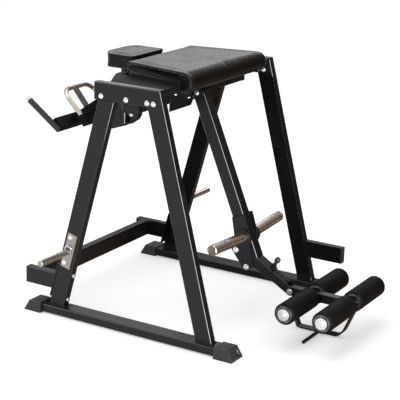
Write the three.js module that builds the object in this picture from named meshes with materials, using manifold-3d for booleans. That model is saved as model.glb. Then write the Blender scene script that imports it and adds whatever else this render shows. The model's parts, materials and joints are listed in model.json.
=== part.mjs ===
// Reverse hyperextension machine. Lengths in millimetres, +Z up, +X toward the leg rollers.
import * as THREE from "three";
import { mergeVertices } from "three/addons/utils/BufferGeometryUtils.js";
import Module from "manifold-3d";

// Shared clearances and tube stock
const fitGap = 0.3;
const tubeDepth = 80;
const tubeThickness = 40;
const tubeWall = 3;
const tubeCorner = 6;
const cutReach = 3000;

// Side frames
const frameWidth = 1014;
const frameHeight = 1118;
const railHeight = 40;
const footHalf = 436;
const shoulderHalf = 146.5;
const beamRear = 187.5;
const railHalf = 515;

// Rubber feet
const bootLap = 52;
const bootOverhang = 42;
const bootStart = railHalf - bootLap;
const bootTip = railHalf + bootOverhang;
const bootSlant = 27;
const bootSole = 4;
const bootRise = 46;
const bootBottomWidth = 100;
const bootTopWidth = 88;
const bootShift = 4;
const bootRecessDepth = 4;
const bootRecessWidth = 60;
const bootRecessHeight = 22;

// Rear brace
const braceRear = 553;
const braceBottom = 106.5;
const stubInset = 24.6;
const stubRear = 584;
const capThickness = 3;
const flangeThickness = 8;
const flangeLength = 170;
const flangeCentreHeight = 162;

// Front stub on the far leg
const frontStubEnd = 583;
const frontStubBottom = 160;

// Weight horns on the rear legs
const hornHeight = 330;
const hornPlateLength = 172;
const hornPlateWidth = 50;
const hornPlateThickness = 5;
const hornRadius = 14.5;
const hornReach = 218;
const hornChamfer = 3;

// Cross beams under the pad
const mainBeamFront = 13;
const mainBeamDepth = 80;
const mainBeamDrop = 126;
const mainBeamBottom = frameHeight - mainBeamDrop;
const frontTubeStart = 76;
const frontTubeDepth = 40;
const frontTubeDrop = 44;
const frontTubeBottom = frameHeight - frontTubeDrop;
const frontTubeRise = 28;
const rearBeamCentre = -151;
const rearBeamDrop = 61;
const rearBeamHeight = frameHeight - rearBeamDrop;
const rearBeamSide = 40;

// Pivot bracket
const pivotX = 50;
const pivotDrop = 100;
const pivotZ = frameHeight - pivotDrop;
const bracketPlate = 5;
const bracketHalf = 215;
const bracketDrop = 60;
const bracketRise = 22;
const bracketBottom = pivotZ - bracketDrop;
const bracketTop = pivotZ + bracketRise;
const notchHalf = 11;
const notchFoot = 36;
const notchDrop = 30;
const notchTop = pivotZ - notchDrop;
const hangerInner = 32;
const hangerThickness = 8;
const hangerRadius = 30;
const pinRadius = 12.5;
const pinHeadRadius = 17;
const pinHeadHeight = 7;

// Deck sheet under the pad
const deckDrop = 1;
const deckTop = frameHeight - deckDrop;
const deckThickness = 5;
const deckFront = -10;
const deckReach = 206;
const deckWingShares = [
  [0.63, 1], [0.8, 0.86], [0.95, 0.73], [1.03, 0.65], [1.05, 0.58], [1.0, 0.5], [0.9, 0.43], [0.78, 0.4],
];
const deckSlotX = -166;
const deckSlotY = 272;
const deckSlotLength = 70;
const deckSlotRadius = 17;

// Main cushion
const padThickness = 46;
const padRear = -182;
const padRollX = 157;
const padRollRadius = 42;
const padFrontDrop = 18;
const padStepStart = -20;
const padStepEnd = 60;
const padRearHalf = 254;
const padFrontHalf = 332;
const padCrown = 5;
const padEdge = 9;
const padCorner = 14;
const padBoardThickness = 4.4;
const padUnder = deckTop + padBoardThickness + fitGap * 2;
const padTop = padUnder + padThickness;
const padFrontUnder = padUnder - padFrontDrop;
const padBoardRear = -165;
const padBoardFront = -22;
const padBoardHalf = 240;

// Head cushion
const headFront = -240;
const headRear = -374;
const headBulge = 40;
const headHalf = 130;
const headRise = 42;
const headThickness = 58;
const headTop = frameHeight + headRise;
const headUnder = headTop - headThickness;
const headCrown = 4;
const headEdge = 9;
const headCorner = 14;
const headPlateThickness = 6;
const headPlateRear = -372;
const headPlateFront = -262;
const headPlateHalf = 92;
const postX = -343;
const postY = -46;
const postRadius = 15;
const postDrop = 298;
const postBottom = frameHeight - postDrop;
const postWall = 3;

// Carriage that carries the head cushion and the handles
const carriageRear = -443;
const carriageFront = -285;
const carriageDrop = 60;
const carriageHeight = 280;
const carriageTop = frameHeight - carriageDrop;
const carriageBottom = carriageTop - carriageHeight;
const carriageHalf = 26;
const carriageWall = 5.4;
const carriageNose = 15;
const carriageShares = [
  [0, 0.79], [0.25, 0.954], [0.525, 1], [1, 1], [1, 0.296],
  [0.911, 0.204], [0.665, 0.111], [0.1, 0], [0, 0.03],
];
const collarDrop = 22;
const collarHeight = 78;
const collarTop = carriageTop - collarDrop;
const collarBottom = collarTop - collarHeight;
const collarHalf = 22;
const spineHeight = 56;
const spineWidth = 50;
const spineTop = rearBeamHeight;

// Handles
const barX = -668;
const barDrop = 335;
const barZ = frameHeight - barDrop;
const barTiltDegrees = 42;
const barSide = 60;
const barThickness = 40;
const barHalf = 140;
const armSide = 40;
const armRun = 144;
const armRise = 100.5;
const armEndX = -352;
const gripHalf = 152;
const gripRun = 134;
const gripTipX = barX - gripRun;
const gripTipHalf = 185;
const gripRise = 122;
const gripTipZ = barZ + gripRise;
const gripRadius = 14.5;
const gripTipBand = 12;
const gripTipRadius = 12.5;
const loopBarRun = 144;
const loopBarHeight = 56;
const loopBarDepth = 36;
const loopBarHalf = 124;
const loopTiltDegrees = 44.2;
const loopOffset = 133;
const loopHalf = 112;
const loopRadius = 11.5;
const loopFoot = -70;
const loopTop = 105;
const loopBend = 52;

// Pendulum
const hubX = 320;
const hubZ = 381;
const pendulumSide = 60;
const plateThickness = 7.7;
const plateLeft = 254;
const plateBottom = 231;
const plateWidth = 120;
const plateHeight = 261;
const plateShares = [
  [0, 0.904], [0.533, 1], [0.758, 0.69], [0.833, 0.494], [0.883, 0.264], [1, 0.065], [0.9, 0.034],
  [0.592, 0], [0.033, 0.307], [0.133, 0.563],
];
const sleeveFlangeRadius = 39;
const sleeveFlangeHeight = 9;
const sleeveRadius = 24.5;
const sleeveEndX = 313.6;
const sleeveEndZ = 394;
const sleeveEndY = 318;
const sleeveChamfer = 3;
const sleeveWall = 4;

// Leg arm, pinned in its sleeve
const armAxisX = 385.4;
const armAxisZ = 265.1;
const armSlopeDegrees = 29.8;
const armSleeveBack = 131;
const armSleeveFront = 80;
const armSleeveHeight = 50;
const armSleeveWall = 4.5;
const slideGap = 0.5;
const armInnerWall = 4.5;
const armTail = 40;
const armMouth = 165;
const earReach = 200.4;
const earRadius = 19.8;
const lockHoleRadius = 4.5;
const lockPitch = 30;
const lockRun = 66.6;

// Spring pin
const housingRadius = 11;
const housingHeight = 20;
const lockPinRadius = 4;
const lockPinDip = 12;
const knobBottom = 33;
const knobHeight = 26;
const knobRadius = 13;
const knobTaper = 0.7;
const knobNeckRadius = 7;

// Roller frame
const lowerPinRadius = 8;
const lowerWasherRadius = 14;
const lowerHeadRadius = 10;
const lowerHeadHeight = 7;
const washerThickness = 3;
const rollerBarHalf = 19.2;
const rollerBarHeight = 40;
const rollerBarEnd = 892;
const axleLeftX = 666;
const axleRightX = 847;
const axleHeight = 163;
const axleRadius = 10;
const discRadius = 27;
const discThickness = 5;
const nutRadius = 11;
const nutHeight = 9;
const rollerInner = 28;
const rollerOuter = 285;
const rollerRadius = 48.5;
const rollerEdge = 6;
const rollerEdgeShare = 0.3;
const ringRadius = 40;
const ringThickness = 4;
const footBarThickness = 8;
const footBarHalf = 19;
const footBarBend = 24;
const footBarTopX = 578;
const footBarTopZ = 142.7;
const footBarKneeX = 588;
const footBarKneeZ = 45;
const footBarHeelX = 602;
const footBarLevel = 4;
const footBarToeX = 801;
const footBarRiseX = 829;
const footBarRiseZ = 30;
const footBarEndX = 876;
const footBarPoints = [
  { x: footBarTopX, z: footBarTopZ },
  { x: footBarKneeX, z: footBarKneeZ },
  { x: footBarHeelX, z: footBarLevel },
  { x: footBarToeX, z: footBarLevel },
  { x: footBarRiseX, z: footBarRiseZ },
  { x: footBarEndX, z: footBarTopZ },
];
const footRodX = 710;
const footRodZ = 5;
const footRodRadius = 6.5;
const footRodReach = 150;

// Solid helpers
const wasm = await Module();
wasm.setup();

function solid(geometry) {
  const bare = geometry.index ? geometry.toNonIndexed() : geometry.clone();
  bare.deleteAttribute("normal");
  bare.deleteAttribute("uv");
  const merged = mergeVertices(bare, 1e-4);
  return new wasm.Manifold(
    new wasm.Mesh({
      numProp: 3,
      vertProperties: merged.attributes.position.array,
      triVerts: new Uint32Array(merged.index.array),
    }),
  );
}

function toGeometry(made) {
  const mesh = made.getMesh();
  const geometry = new THREE.BufferGeometry();
  geometry.setAttribute("position", new THREE.BufferAttribute(new Float32Array(mesh.vertProperties), 3));
  geometry.setIndex(new THREE.BufferAttribute(new Uint32Array(mesh.triVerts), 1));
  const flat = geometry.toNonIndexed();
  flat.computeVertexNormals();
  return flat;
}

function keep(made, normal, point) {
  const n = normal.clone().normalize();
  return made.trimByPlane([n.x, n.y, n.z], n.dot(point));
}

function vec(x, y, z) {
  return new THREE.Vector3(x, y, z);
}

function block(x0, x1, y0, y1, z0, z1) {
  const geometry = new THREE.BoxGeometry(x1 - x0, y1 - y0, z1 - z0);
  geometry.translate((x0 + x1) / 2, (y0 + y1) / 2, (z0 + z1) / 2);
  return geometry;
}

function roundedShape(width, height, radius) {
  const w = width / 2;
  const h = height / 2;
  const shape = new THREE.Shape();
  shape.moveTo(-w + radius, -h);
  shape.lineTo(w - radius, -h);
  shape.absarc(w - radius, -h + radius, radius, -Math.PI / 2, 0);
  shape.lineTo(w, h - radius);
  shape.absarc(w - radius, h - radius, radius, 0, Math.PI / 2);
  shape.lineTo(-w + radius, h);
  shape.absarc(-w + radius, h - radius, radius, Math.PI / 2, Math.PI);
  shape.lineTo(-w, -h + radius);
  shape.absarc(-w + radius, -h + radius, radius, Math.PI, Math.PI * 1.5);
  return shape;
}

// A straight tube between two points; width runs across, height runs along up
function bar(from, to, up, width, height, corner, wall = 0, blindStart = 0) {
  const direction = to.clone().sub(from);
  const length = direction.length();
  direction.normalize();
  const across = new THREE.Vector3().crossVectors(up, direction).normalize();
  const high = new THREE.Vector3().crossVectors(direction, across);
  const place = new THREE.Matrix4().makeBasis(across, high, direction).setPosition(from);
  const make = (w, h, r, start) => {
    const geometry = new THREE.ExtrudeGeometry(roundedShape(w, h, r), {
      depth: length - start,
      bevelEnabled: false,
      curveSegments: 3,
    });
    geometry.translate(0, 0, start);
    return solid(geometry.applyMatrix4(place));
  };
  const outer = make(width, height, corner, 0);
  if (wall === 0) return outer;
  const grown = to.clone().addScaledVector(direction, wall);
  const reach = grown.sub(from).length();
  const bore = new THREE.ExtrudeGeometry(roundedShape(width - wall * 2, height - wall * 2, corner / 2), {
    depth: blindStart > 0 ? reach - blindStart : reach + wall,
    bevelEnabled: false,
    curveSegments: 3,
  });
  bore.translate(0, 0, blindStart > 0 ? blindStart : -wall);
  return outer.subtract(solid(bore.applyMatrix4(place)));
}

// A round bar between two points, from a turned profile of [radius, run] pairs
function turned(from, to, profile, segments = 24) {
  const direction = to.clone().sub(from).normalize();
  const geometry = new THREE.LatheGeometry(
    profile.map(([r, s]) => new THREE.Vector2(r, s)),
    segments,
  );
  const turn = new THREE.Quaternion().setFromUnitVectors(vec(0, 1, 0), direction);
  geometry.applyQuaternion(turn);
  geometry.translate(from.x, from.y, from.z);
  return solid(geometry);
}

function rod(from, to, radius, segments = 24) {
  const length = to.distanceTo(from);
  return turned(from, to, [[0, 0], [radius, 0], [radius, length], [0, length]], segments);
}

// A flat outline in the side plane, thickened along Y
function slab(shape, y0, y1, segments = 6) {
  const geometry = new THREE.ExtrudeGeometry(shape, {
    depth: y1 - y0,
    bevelEnabled: false,
    curveSegments: segments,
  });
  geometry.rotateX(Math.PI / 2);
  geometry.translate(0, y1, 0);
  return solid(geometry);
}

function outline(points) {
  return new THREE.Shape(points.map(([x, z]) => new THREE.Vector2(x, z)));
}

const group = new THREE.Group();
group.name = "reverse_hyperextension";
const black = 0x1c1c1e;
const leather = 0x2a2a2c;
const rubber = 0x161617;
const chrome = 0xb9b4ae;
const zinc = 0xd2d4d6;
const wood = 0x6b5136;

function add(name, shape, color, metalness = 0.3, roughness = 0.55) {
  const geometry = shape.isBufferGeometry ? shape : toGeometry(shape);
  const material = new THREE.MeshStandardMaterial({ color, metalness, roughness });
  const mesh = new THREE.Mesh(geometry, material);
  mesh.name = name;
  group.add(mesh);
  return mesh;
}

// Side frames
const outerY = frameWidth / 2;
const innerY = outerY - tubeThickness;
const midY = outerY - tubeThickness / 2;
const lean = Math.atan2(footHalf - shoulderHalf, frameHeight - railHeight);
const legUp = vec(-Math.sin(lean), 0, Math.cos(lean));
const legIn = vec(-Math.cos(lean), 0, -Math.sin(lean));
const footPoint = vec(footHalf, 0, railHeight);
const shoulder = vec(shoulderHalf, 0, frameHeight);
const mitreInnerX = shoulderHalf + tubeDepth * Math.tan(lean) - tubeDepth / Math.cos(lean);
const mitreNormal = vec(tubeDepth, 0, mitreInnerX - shoulderHalf).normalize();
const acrossY = vec(0, 1, 0);
const upZ = vec(0, 0, 1);
const alongX = vec(1, 0, 0);

function mirrorX(v) {
  return vec(-v.x, v.y, v.z);
}

function bootSolid() {
  const low = bootBottomWidth / 2;
  const high = bootTopWidth / 2;
  const section = outline([[-low, -bootSole], [low, -bootSole], [high, bootRise], [-high, bootRise]]);
  const geometry = new THREE.ExtrudeGeometry(section, { depth: bootTip - bootStart, bevelEnabled: false });
  geometry.applyMatrix4(new THREE.Matrix4().makeBasis(acrossY, upZ, alongX).setPosition(bootStart, 0, 0));
  const rise = bootRise + bootSole;
  const face = vec(rise, 0, bootSlant).normalize();
  let made = keep(solid(geometry), face.clone().negate(), vec(bootTip, 0, -bootSole));
  const socket = block(
    bootStart - tubeWall, railHalf + fitGap, -tubeDepth / 2 - fitGap - bootShift,
    tubeDepth / 2 + fitGap - bootShift, -fitGap, railHeight + fitGap,
  );
  made = made.subtract(solid(socket));
  const recess = new THREE.BoxGeometry(bootRecessDepth * 2, bootRecessWidth, bootRecessHeight);
  recess.rotateY(-Math.atan2(bootSlant, rise));
  recess.translate(bootTip - bootSlant / 2, 0, rise / 2 - bootSole);
  return made.subtract(solid(recess));
}

for (const [side, s] of [["near", -1], ["far", 1]]) {
  const y = s * midY;
  const legAt = (mirror) => {
    const centre = footPoint.clone().addScaledVector(legIn, tubeDepth / 2);
    const start = centre.clone().addScaledVector(legUp, -tubeDepth);
    const end = centre.clone().addScaledVector(legUp, frameHeight * 1.2);
    const place = (v) => (mirror ? mirrorX(v) : v).setY(y);
    const tube = bar(place(start), place(end), acrossY, tubeDepth, tubeThickness, tubeCorner, tubeWall);
    return keep(tube, upZ, vec(0, 0, railHeight + fitGap));
  };
  const mitre = shoulder.clone().addScaledVector(mitreNormal, fitGap);
  add("front_leg_" + side, keep(legAt(false), mitreNormal, mitre), black);
  const underBeam = vec(0, 0, frameHeight - tubeDepth - fitGap);
  add("rear_leg_" + side, keep(legAt(true), upZ.clone().negate(), underBeam), black);
  const beamZ = frameHeight - tubeDepth / 2;
  const beam = bar(
    vec(-beamRear, y, beamZ), vec(shoulderHalf + tubeDepth, y, beamZ), upZ,
    tubeThickness, tubeDepth, tubeCorner, tubeWall, tubeWall,
  );
  add("top_beam_" + side, keep(beam, mitreNormal.clone().negate(), shoulder), black);
  const rail = bar(
    vec(-railHalf, y, railHeight / 2), vec(railHalf, y, railHeight / 2), upZ,
    tubeDepth, tubeThickness, tubeCorner, tubeWall,
  );
  add("base_rail_" + side, rail, black);
  const boot = bootSolid().translate([0, midY + bootShift, 0]);
  const sideBoot = s > 0 ? boot : boot.mirror([0, 1, 0]);
  add("boot_front_" + side, sideBoot, rubber, 0, 0.8);
  add("boot_rear_" + side, sideBoot.mirror([1, 0, 0]), rubber, 0, 0.8);
}

// Rear brace: a cross tube between two stubs bolted to the rear legs
const stubOuter = outerY - stubInset;
const stubInner = stubOuter - tubeThickness;
const braceZ = braceBottom + tubeDepth / 2;
const braceX = -braceRear + tubeThickness / 2;
const crossTube = bar(
  vec(braceX, -stubInner + fitGap, braceZ), vec(braceX, stubInner - fitGap, braceZ), upZ,
  tubeThickness, tubeDepth, tubeCorner, tubeWall,
);
add("rear_crossbar", crossTube, black);
const rearEdge = mirrorX(footPoint);
const rearUp = mirrorX(legUp);
const rearOut = mirrorX(legIn.clone().negate());
for (const [side, s] of [["near", -1], ["far", 1]]) {
  const y = s * (stubOuter - tubeThickness / 2);
  let stub = bar(
    vec(-stubRear, y, braceZ), vec(0, y, braceZ), upZ,
    tubeThickness, tubeDepth, tubeCorner, tubeWall,
  );
  const weld = rearEdge.clone().addScaledVector(rearOut, fitGap + flangeThickness / 2);
  stub = keep(stub, rearOut, weld);
  const run = (flangeCentreHeight - railHeight) / rearUp.z;
  const centre = rearEdge.clone().addScaledVector(rearUp, run);
  centre.addScaledVector(rearOut, fitGap + flangeThickness / 2);
  const low = centre.clone().addScaledVector(rearUp, -flangeLength / 2);
  const high = centre.clone().addScaledVector(rearUp, flangeLength / 2);
  const flangeY = s * (stubInner + outerY) / 2;
  const flange = bar(
    low.setY(flangeY), high.setY(flangeY), rearOut,
    outerY - stubInner, flangeThickness, fitGap,
  );
  add("rear_stub_" + side, stub.add(flange), black);
  const cap = bar(
    vec(-stubRear - fitGap - capThickness, y, braceZ), vec(-stubRear - fitGap, y, braceZ), upZ,
    tubeThickness, tubeDepth, tubeCorner,
  );
  add("rear_stub_cap_" + side, cap, rubber, 0, 0.7);
}

// Front stub on the far leg
const frontStubZ = frontStubBottom + tubeDepth / 2;
const frontStub = bar(
  vec(0, midY, frontStubZ), vec(frontStubEnd - capThickness - fitGap, midY, frontStubZ), upZ,
  tubeThickness, tubeDepth, tubeCorner, tubeWall,
);
const legFace = footPoint.clone().addScaledVector(legIn, -fitGap);
add("front_stub", keep(frontStub, legIn.clone().negate(), legFace), black);
const frontCap = bar(
  vec(frontStubEnd - capThickness, midY, frontStubZ), vec(frontStubEnd, midY, frontStubZ), upZ,
  tubeThickness, tubeDepth, tubeCorner,
);
add("front_stub_cap", frontCap, rubber, 0, 0.7);

// Weight horns
for (const [side, s] of [["near", -1], ["far", 1]]) {
  const run = (hornHeight - railHeight) / rearUp.z;
  const centre = rearEdge.clone().addScaledVector(rearUp, run);
  centre.addScaledVector(rearOut, -tubeDepth / 2);
  const low = centre.clone().addScaledVector(rearUp, -hornPlateLength / 2);
  const high = centre.clone().addScaledVector(rearUp, hornPlateLength / 2);
  const plateY = s * (outerY + fitGap + hornPlateThickness / 2);
  const plate = bar(
    low.setY(plateY), high.setY(plateY), acrossY,
    hornPlateWidth, hornPlateThickness, fitGap,
  );
  const root = centre.clone().setY(plateY);
  const tip = centre.clone().setY(s * (outerY + hornReach));
  const length = tip.distanceTo(root);
  const horn = turned(root, tip, [
    [0, 0], [hornRadius, 0], [hornRadius, length - hornChamfer],
    [hornRadius - hornChamfer, length], [0, length],
  ]);
  add("weight_horn_" + side, plate.add(horn), chrome, 0.9, 0.3);
}

// Cross beams
const beamEnd = innerY - fitGap;
const mainBeamX = mainBeamFront - mainBeamDepth / 2;
const mainBeamZ = mainBeamBottom + mainBeamDepth / 2;
const mainBeam = bar(
  vec(mainBeamX, -beamEnd, mainBeamZ), vec(mainBeamX, beamEnd, mainBeamZ), upZ,
  mainBeamDepth, mainBeamDepth, tubeCorner, tubeWall,
);
add("main_cross_beam", mainBeam, black);
const frontTubeX = frontTubeStart + frontTubeDepth / 2;
const frontTubeZ = frontTubeBottom + frontTubeRise / 2;
const frontTube = bar(
  vec(frontTubeX, -beamEnd, frontTubeZ), vec(frontTubeX, beamEnd, frontTubeZ), upZ,
  frontTubeDepth, frontTubeRise, tubeCorner, tubeWall,
);
add("front_cross_tube", frontTube, black);
const rearBeam = bar(
  vec(rearBeamCentre, -beamEnd, rearBeamHeight), vec(rearBeamCentre, beamEnd, rearBeamHeight), upZ,
  rearBeamSide, rearBeamSide, tubeCorner, tubeWall,
);
add("rear_cross_beam", rearBeam, black);

// Pivot bracket: a notched back plate with two hanger plates
const bracketBack = mainBeamFront + fitGap;
const bracketFace = bracketBack + bracketPlate;
const bracketOutline = new THREE.Shape([
  new THREE.Vector2(-bracketHalf, bracketTop), new THREE.Vector2(-bracketHalf, bracketBottom),
  new THREE.Vector2(-notchFoot, bracketBottom), new THREE.Vector2(-notchHalf, notchTop),
  new THREE.Vector2(notchHalf, notchTop), new THREE.Vector2(notchFoot, bracketBottom),
  new THREE.Vector2(bracketHalf, bracketBottom), new THREE.Vector2(bracketHalf, bracketTop),
]);
const backPlate = new THREE.ExtrudeGeometry(bracketOutline, { depth: bracketPlate, bevelEnabled: false });
backPlate.applyMatrix4(new THREE.Matrix4().makeBasis(acrossY, upZ, alongX).setPosition(bracketBack, 0, 0));
let bracket = solid(backPlate);
const hangerShape = new THREE.Shape();
hangerShape.moveTo(bracketBack + bracketPlate / 2, pivotZ - hangerRadius);
hangerShape.lineTo(pivotX, pivotZ - hangerRadius);
hangerShape.absarc(pivotX, pivotZ, hangerRadius, -Math.PI / 2, Math.PI / 2);
hangerShape.lineTo(bracketBack + bracketPlate / 2, bracketTop);
for (const s of [-1, 1]) {
  const a = s * hangerInner;
  const b = s * (hangerInner + hangerThickness);
  bracket = bracket.add(slab(hangerShape, Math.min(a, b), Math.max(a, b), 12));
}
const pivotPoint = vec(pivotX, 0, pivotZ);
const hangerOuter = hangerInner + hangerThickness;
const throughBore = rod(
  vec(pivotX, -frameWidth / 2, pivotZ), vec(pivotX, frameWidth / 2, pivotZ), pinRadius + fitGap,
);
add("pivot_bracket", bracket.subtract(throughBore), black);
const pinEnd = hangerOuter + fitGap;
const pinLength = (pinEnd + pinHeadHeight) * 2;
const pivotPin = turned(
  vec(pivotX, -pinEnd - pinHeadHeight, pivotZ), vec(pivotX, pinEnd + pinHeadHeight, pivotZ),
  [
    [0, 0], [pinHeadRadius, 0], [pinHeadRadius, pinHeadHeight], [pinRadius, pinHeadHeight],
    [pinRadius, pinLength - pinHeadHeight], [pinHeadRadius, pinLength - pinHeadHeight],
    [pinHeadRadius, pinLength], [0, pinLength],
  ],
);
add("pivot_pin", pivotPin, zinc, 0.9, 0.3);

// Deck sheet with two rounded wings
const deckWing = deckWingShares.map(([share, wide]) => [-deckReach * share, -beamEnd * wide]);
const deckMirror = deckWing.map(([x, y]) => [x, -y]).reverse();
const deckPoints = [...deckWing, ...deckMirror, [deckFront, beamEnd], [deckFront, -beamEnd]];
const deckShape = outline(deckPoints.reverse());
const deckGeometry = new THREE.ExtrudeGeometry(deckShape, { depth: deckThickness, bevelEnabled: false });
deckGeometry.translate(0, 0, deckTop - deckThickness);
let deck = solid(deckGeometry);
for (const s of [-1, 1]) {
  const slot = new THREE.ExtrudeGeometry(roundedShape(deckSlotRadius * 2, deckSlotLength, deckSlotRadius), {
    depth: deckThickness * 3,
    bevelEnabled: false,
    curveSegments: 6,
  });
  slot.translate(deckSlotX, s * deckSlotY, deckTop - deckThickness * 2);
  deck = deck.subtract(solid(slot));
}
add("top_deck", deck, black);

// A cushion: its side outline is run across the machine, then tapered, crowned and drawn in
function cushion(points, half, edge, steps, bend) {
  const geometry = new THREE.ExtrudeGeometry(outline(points), {
    depth: (half - edge) * 2,
    steps,
    bevelEnabled: true,
    bevelThickness: edge,
    bevelSize: edge,
    bevelOffset: -edge,
    bevelSegments: 3,
  });
  geometry.rotateX(Math.PI / 2);
  geometry.translate(0, half - edge, 0);
  const position = geometry.attributes.position;
  const point = new THREE.Vector3();
  for (let i = 0; i < position.count; i += 1) {
    point.fromBufferAttribute(position, i);
    bend(point, point.y / half);
    position.setXYZ(i, point.x, point.y, point.z);
  }
  return solid(geometry);
}

function arcPoints(x, z, radius, from, to, count) {
  const made = [];
  for (let i = 0; i <= count; i += 1) {
    const angle = from + ((to - from) * i) / count;
    made.push([x + radius * Math.cos(angle), z + radius * Math.sin(angle)]);
  }
  return made;
}

function linePoints(x0, z0, x1, z1, count) {
  const made = [];
  for (let i = 1; i < count; i += 1) {
    const share = i / count;
    made.push([x0 + (x1 - x0) * share, z0 + (z1 - z0) * share]);
  }
  return made;
}

// Main cushion with its rolled front
const rollZ = padTop - padRollRadius;
const padFront = padRollX + padRollRadius;
const underAngle = Math.PI + Math.asin((rollZ - padFrontUnder) / padRollRadius);
const rollStartX = padRollX + padRollRadius * Math.cos(underAngle);
const padPoints = [
  ...arcPoints(padRear + padCorner, padUnder + padCorner, padCorner, Math.PI, Math.PI * 1.5, 3),
  [padStepStart, padUnder],
  [padStepEnd, padFrontUnder],
  [(padStepEnd + rollStartX) / 2, padFrontUnder],
  ...arcPoints(padRollX, rollZ, padRollRadius, underAngle, Math.PI * 2.5, 18),
  ...linePoints(padRollX, padTop, padRear + padCorner, padTop, 12),
  ...arcPoints(padRear + padCorner, padTop - padCorner, padCorner, Math.PI / 2, Math.PI, 3),
];
const padSpan = padFront - padRear;
const mainPad = cushion(padPoints, padFrontHalf, padEdge, 12, (p, across) => {
  const run = (p.x - padRear) / padSpan;
  const wide = padRearHalf + (padFrontHalf - padRearHalf) * Math.min(Math.max(run, 0), 1);
  const rise = Math.max(0, (p.z - padUnder) / (padTop - padUnder));
  const crest = Math.sin(Math.PI * Math.min(Math.max(run, 0), 1));
  p.y = across * wide;
  p.z += padCrown * rise * crest * (1 - across * across);
});
add("main_pad", mainPad, leather, 0, 0.6);
const boardZ = padUnder - fitGap;
const padBoard = block(
  padBoardRear, padBoardFront, -padBoardHalf, padBoardHalf, boardZ - padBoardThickness, boardZ,
);
add("pad_board", solid(padBoard), wood, 0, 0.8);

// Head cushion, bulging at its outer end
const headPoints = [
  ...arcPoints(headRear + headCorner, headUnder + headCorner, headCorner, Math.PI, Math.PI * 1.5, 3),
  ...linePoints(headRear + headCorner, headUnder, headFront - headCorner, headUnder, 2),
  ...arcPoints(headFront - headCorner, headUnder + headCorner, headCorner, -Math.PI / 2, 0, 3),
  ...arcPoints(headFront - headCorner, headTop - headCorner, headCorner, 0, Math.PI / 2, 3),
  ...linePoints(headFront - headCorner, headTop, headRear + headCorner, headTop, 8),
  ...arcPoints(headRear + headCorner, headTop - headCorner, headCorner, Math.PI / 2, Math.PI, 3),
];
const headPad = cushion(headPoints, headHalf, headEdge, 12, (p, across) => {
  const run = (headFront - p.x) / (headFront - headRear);
  const rise = Math.max(0, (p.z - headUnder) / (headTop - headUnder));
  const round = 1 - Math.pow(Math.abs(across), 4);
  p.x -= headBulge * run * round;
  p.z += headCrown * rise * Math.sin(Math.PI * Math.min(Math.max(run, 0), 1)) * (1 - across * across);
});
add("head_pad", headPad, leather, 0, 0.6);
const headPlateTop = headUnder - fitGap;
const headPlate = block(
  headPlateRear, headPlateFront, -headPlateHalf, headPlateHalf,
  headPlateTop - headPlateThickness, headPlateTop,
);
add("head_pad_plate", solid(headPlate), black);
const postTop = headPlateTop - headPlateThickness - fitGap;
const postBore = postRadius - postWall;
const postLength = postTop - postBottom;
const post = turned(vec(postX, postY, postBottom), vec(postX, postY, postTop), [
  [0, 0], [postRadius - postWall, 0], [postRadius, postWall], [postRadius, postLength],
  [postBore, postLength], [postBore, postWall], [0, postWall],
]);
add("head_pad_post", post, black);

// Carriage: a folded box, open below and behind, with a collar for the post
const carriageWide = carriageFront - carriageRear;
const carriageTall = carriageTop - carriageBottom;
const carriagePoints = carriageShares.map(([a, b]) => [
  carriageRear + a * carriageWide,
  carriageBottom + b * carriageTall,
]);
let carriage = slab(outline([...carriagePoints].reverse()), -carriageHalf, carriageHalf);
const pocket = block(
  carriageRear - carriageWall, carriageFront - carriageNose, -carriageHalf + carriageWall,
  carriageHalf - carriageWall, carriageBottom - carriageWall, carriageTop - carriageNose,
);
carriage = carriage.subtract(solid(pocket));
const collar = block(
  postX - collarHalf, postX + collarHalf, postY - collarHalf, -carriageHalf + carriageWall / 2,
  collarBottom, collarTop,
);
carriage = carriage.add(solid(collar));
const postHole = rod(
  vec(postX, postY, postBottom), vec(postX, postY, postTop), postRadius + fitGap,
);
add("carriage", carriage.subtract(postHole), black);
const spineZ = spineTop - spineHeight / 2;
const spine = bar(
  vec(carriageFront + fitGap, 0, spineZ), vec(rearBeamCentre - rearBeamSide / 2 - fitGap, 0, spineZ), upZ,
  spineWidth, spineHeight, tubeCorner, tubeWall,
);
add("head_spine", spine, black);

// Handles
const barTilt = THREE.MathUtils.degToRad(barTiltDegrees);
const gripUp = vec(-Math.cos(barTilt), 0, Math.sin(barTilt));
const barOut = vec(Math.sin(barTilt), 0, Math.cos(barTilt));
const barCentre = vec(barX, 0, barZ);
const armWay = vec(armRun, 0, armRise).normalize();
const armUp = vec(-armWay.z, 0, armWay.x);
let handleArm = bar(
  barCentre, barCentre.clone().addScaledVector(armWay, cutReach / 4), acrossY,
  armSide, armSide, tubeCorner / 2,
);
handleArm = keep(handleArm, barOut, barCentre.clone().addScaledVector(barOut, barThickness / 2 + fitGap));
handleArm = keep(handleArm, alongX.clone().negate(), vec(armEndX, 0, 0));
add("handle_arm", handleArm, black);
let handleBar = bar(
  barCentre.clone().setY(-barHalf), barCentre.clone().setY(barHalf), gripUp,
  barThickness, barSide, tubeCorner / 2,
);
for (const [side, s] of [["near", -1], ["far", 1]]) {
  const base = vec(barX, s * gripHalf, barZ);
  const tip = vec(gripTipX, s * gripTipHalf, gripTipZ);
  const way = tip.clone().sub(base).normalize();
  const start = base.clone().addScaledVector(way, -barSide / 2);
  const length = tip.distanceTo(start);
  handleBar = handleBar.subtract(rod(
    start.clone().addScaledVector(way, -barSide), tip, gripRadius + fitGap,
  ));
  const grip = turned(start, tip, [
    [0, 0], [gripRadius, 0], [gripRadius, length - gripTipBand], [gripTipRadius, length - gripTipBand],
    [gripTipRadius, length], [0, length],
  ]);
  add("grip_" + side, grip, black, 0.1, 0.6);
}
add("handle_bar", handleBar, black);
const loopBarTop = barCentre.clone().addScaledVector(armWay, loopBarRun);
loopBarTop.addScaledVector(armUp, -armSide / 2 - fitGap);
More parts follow.
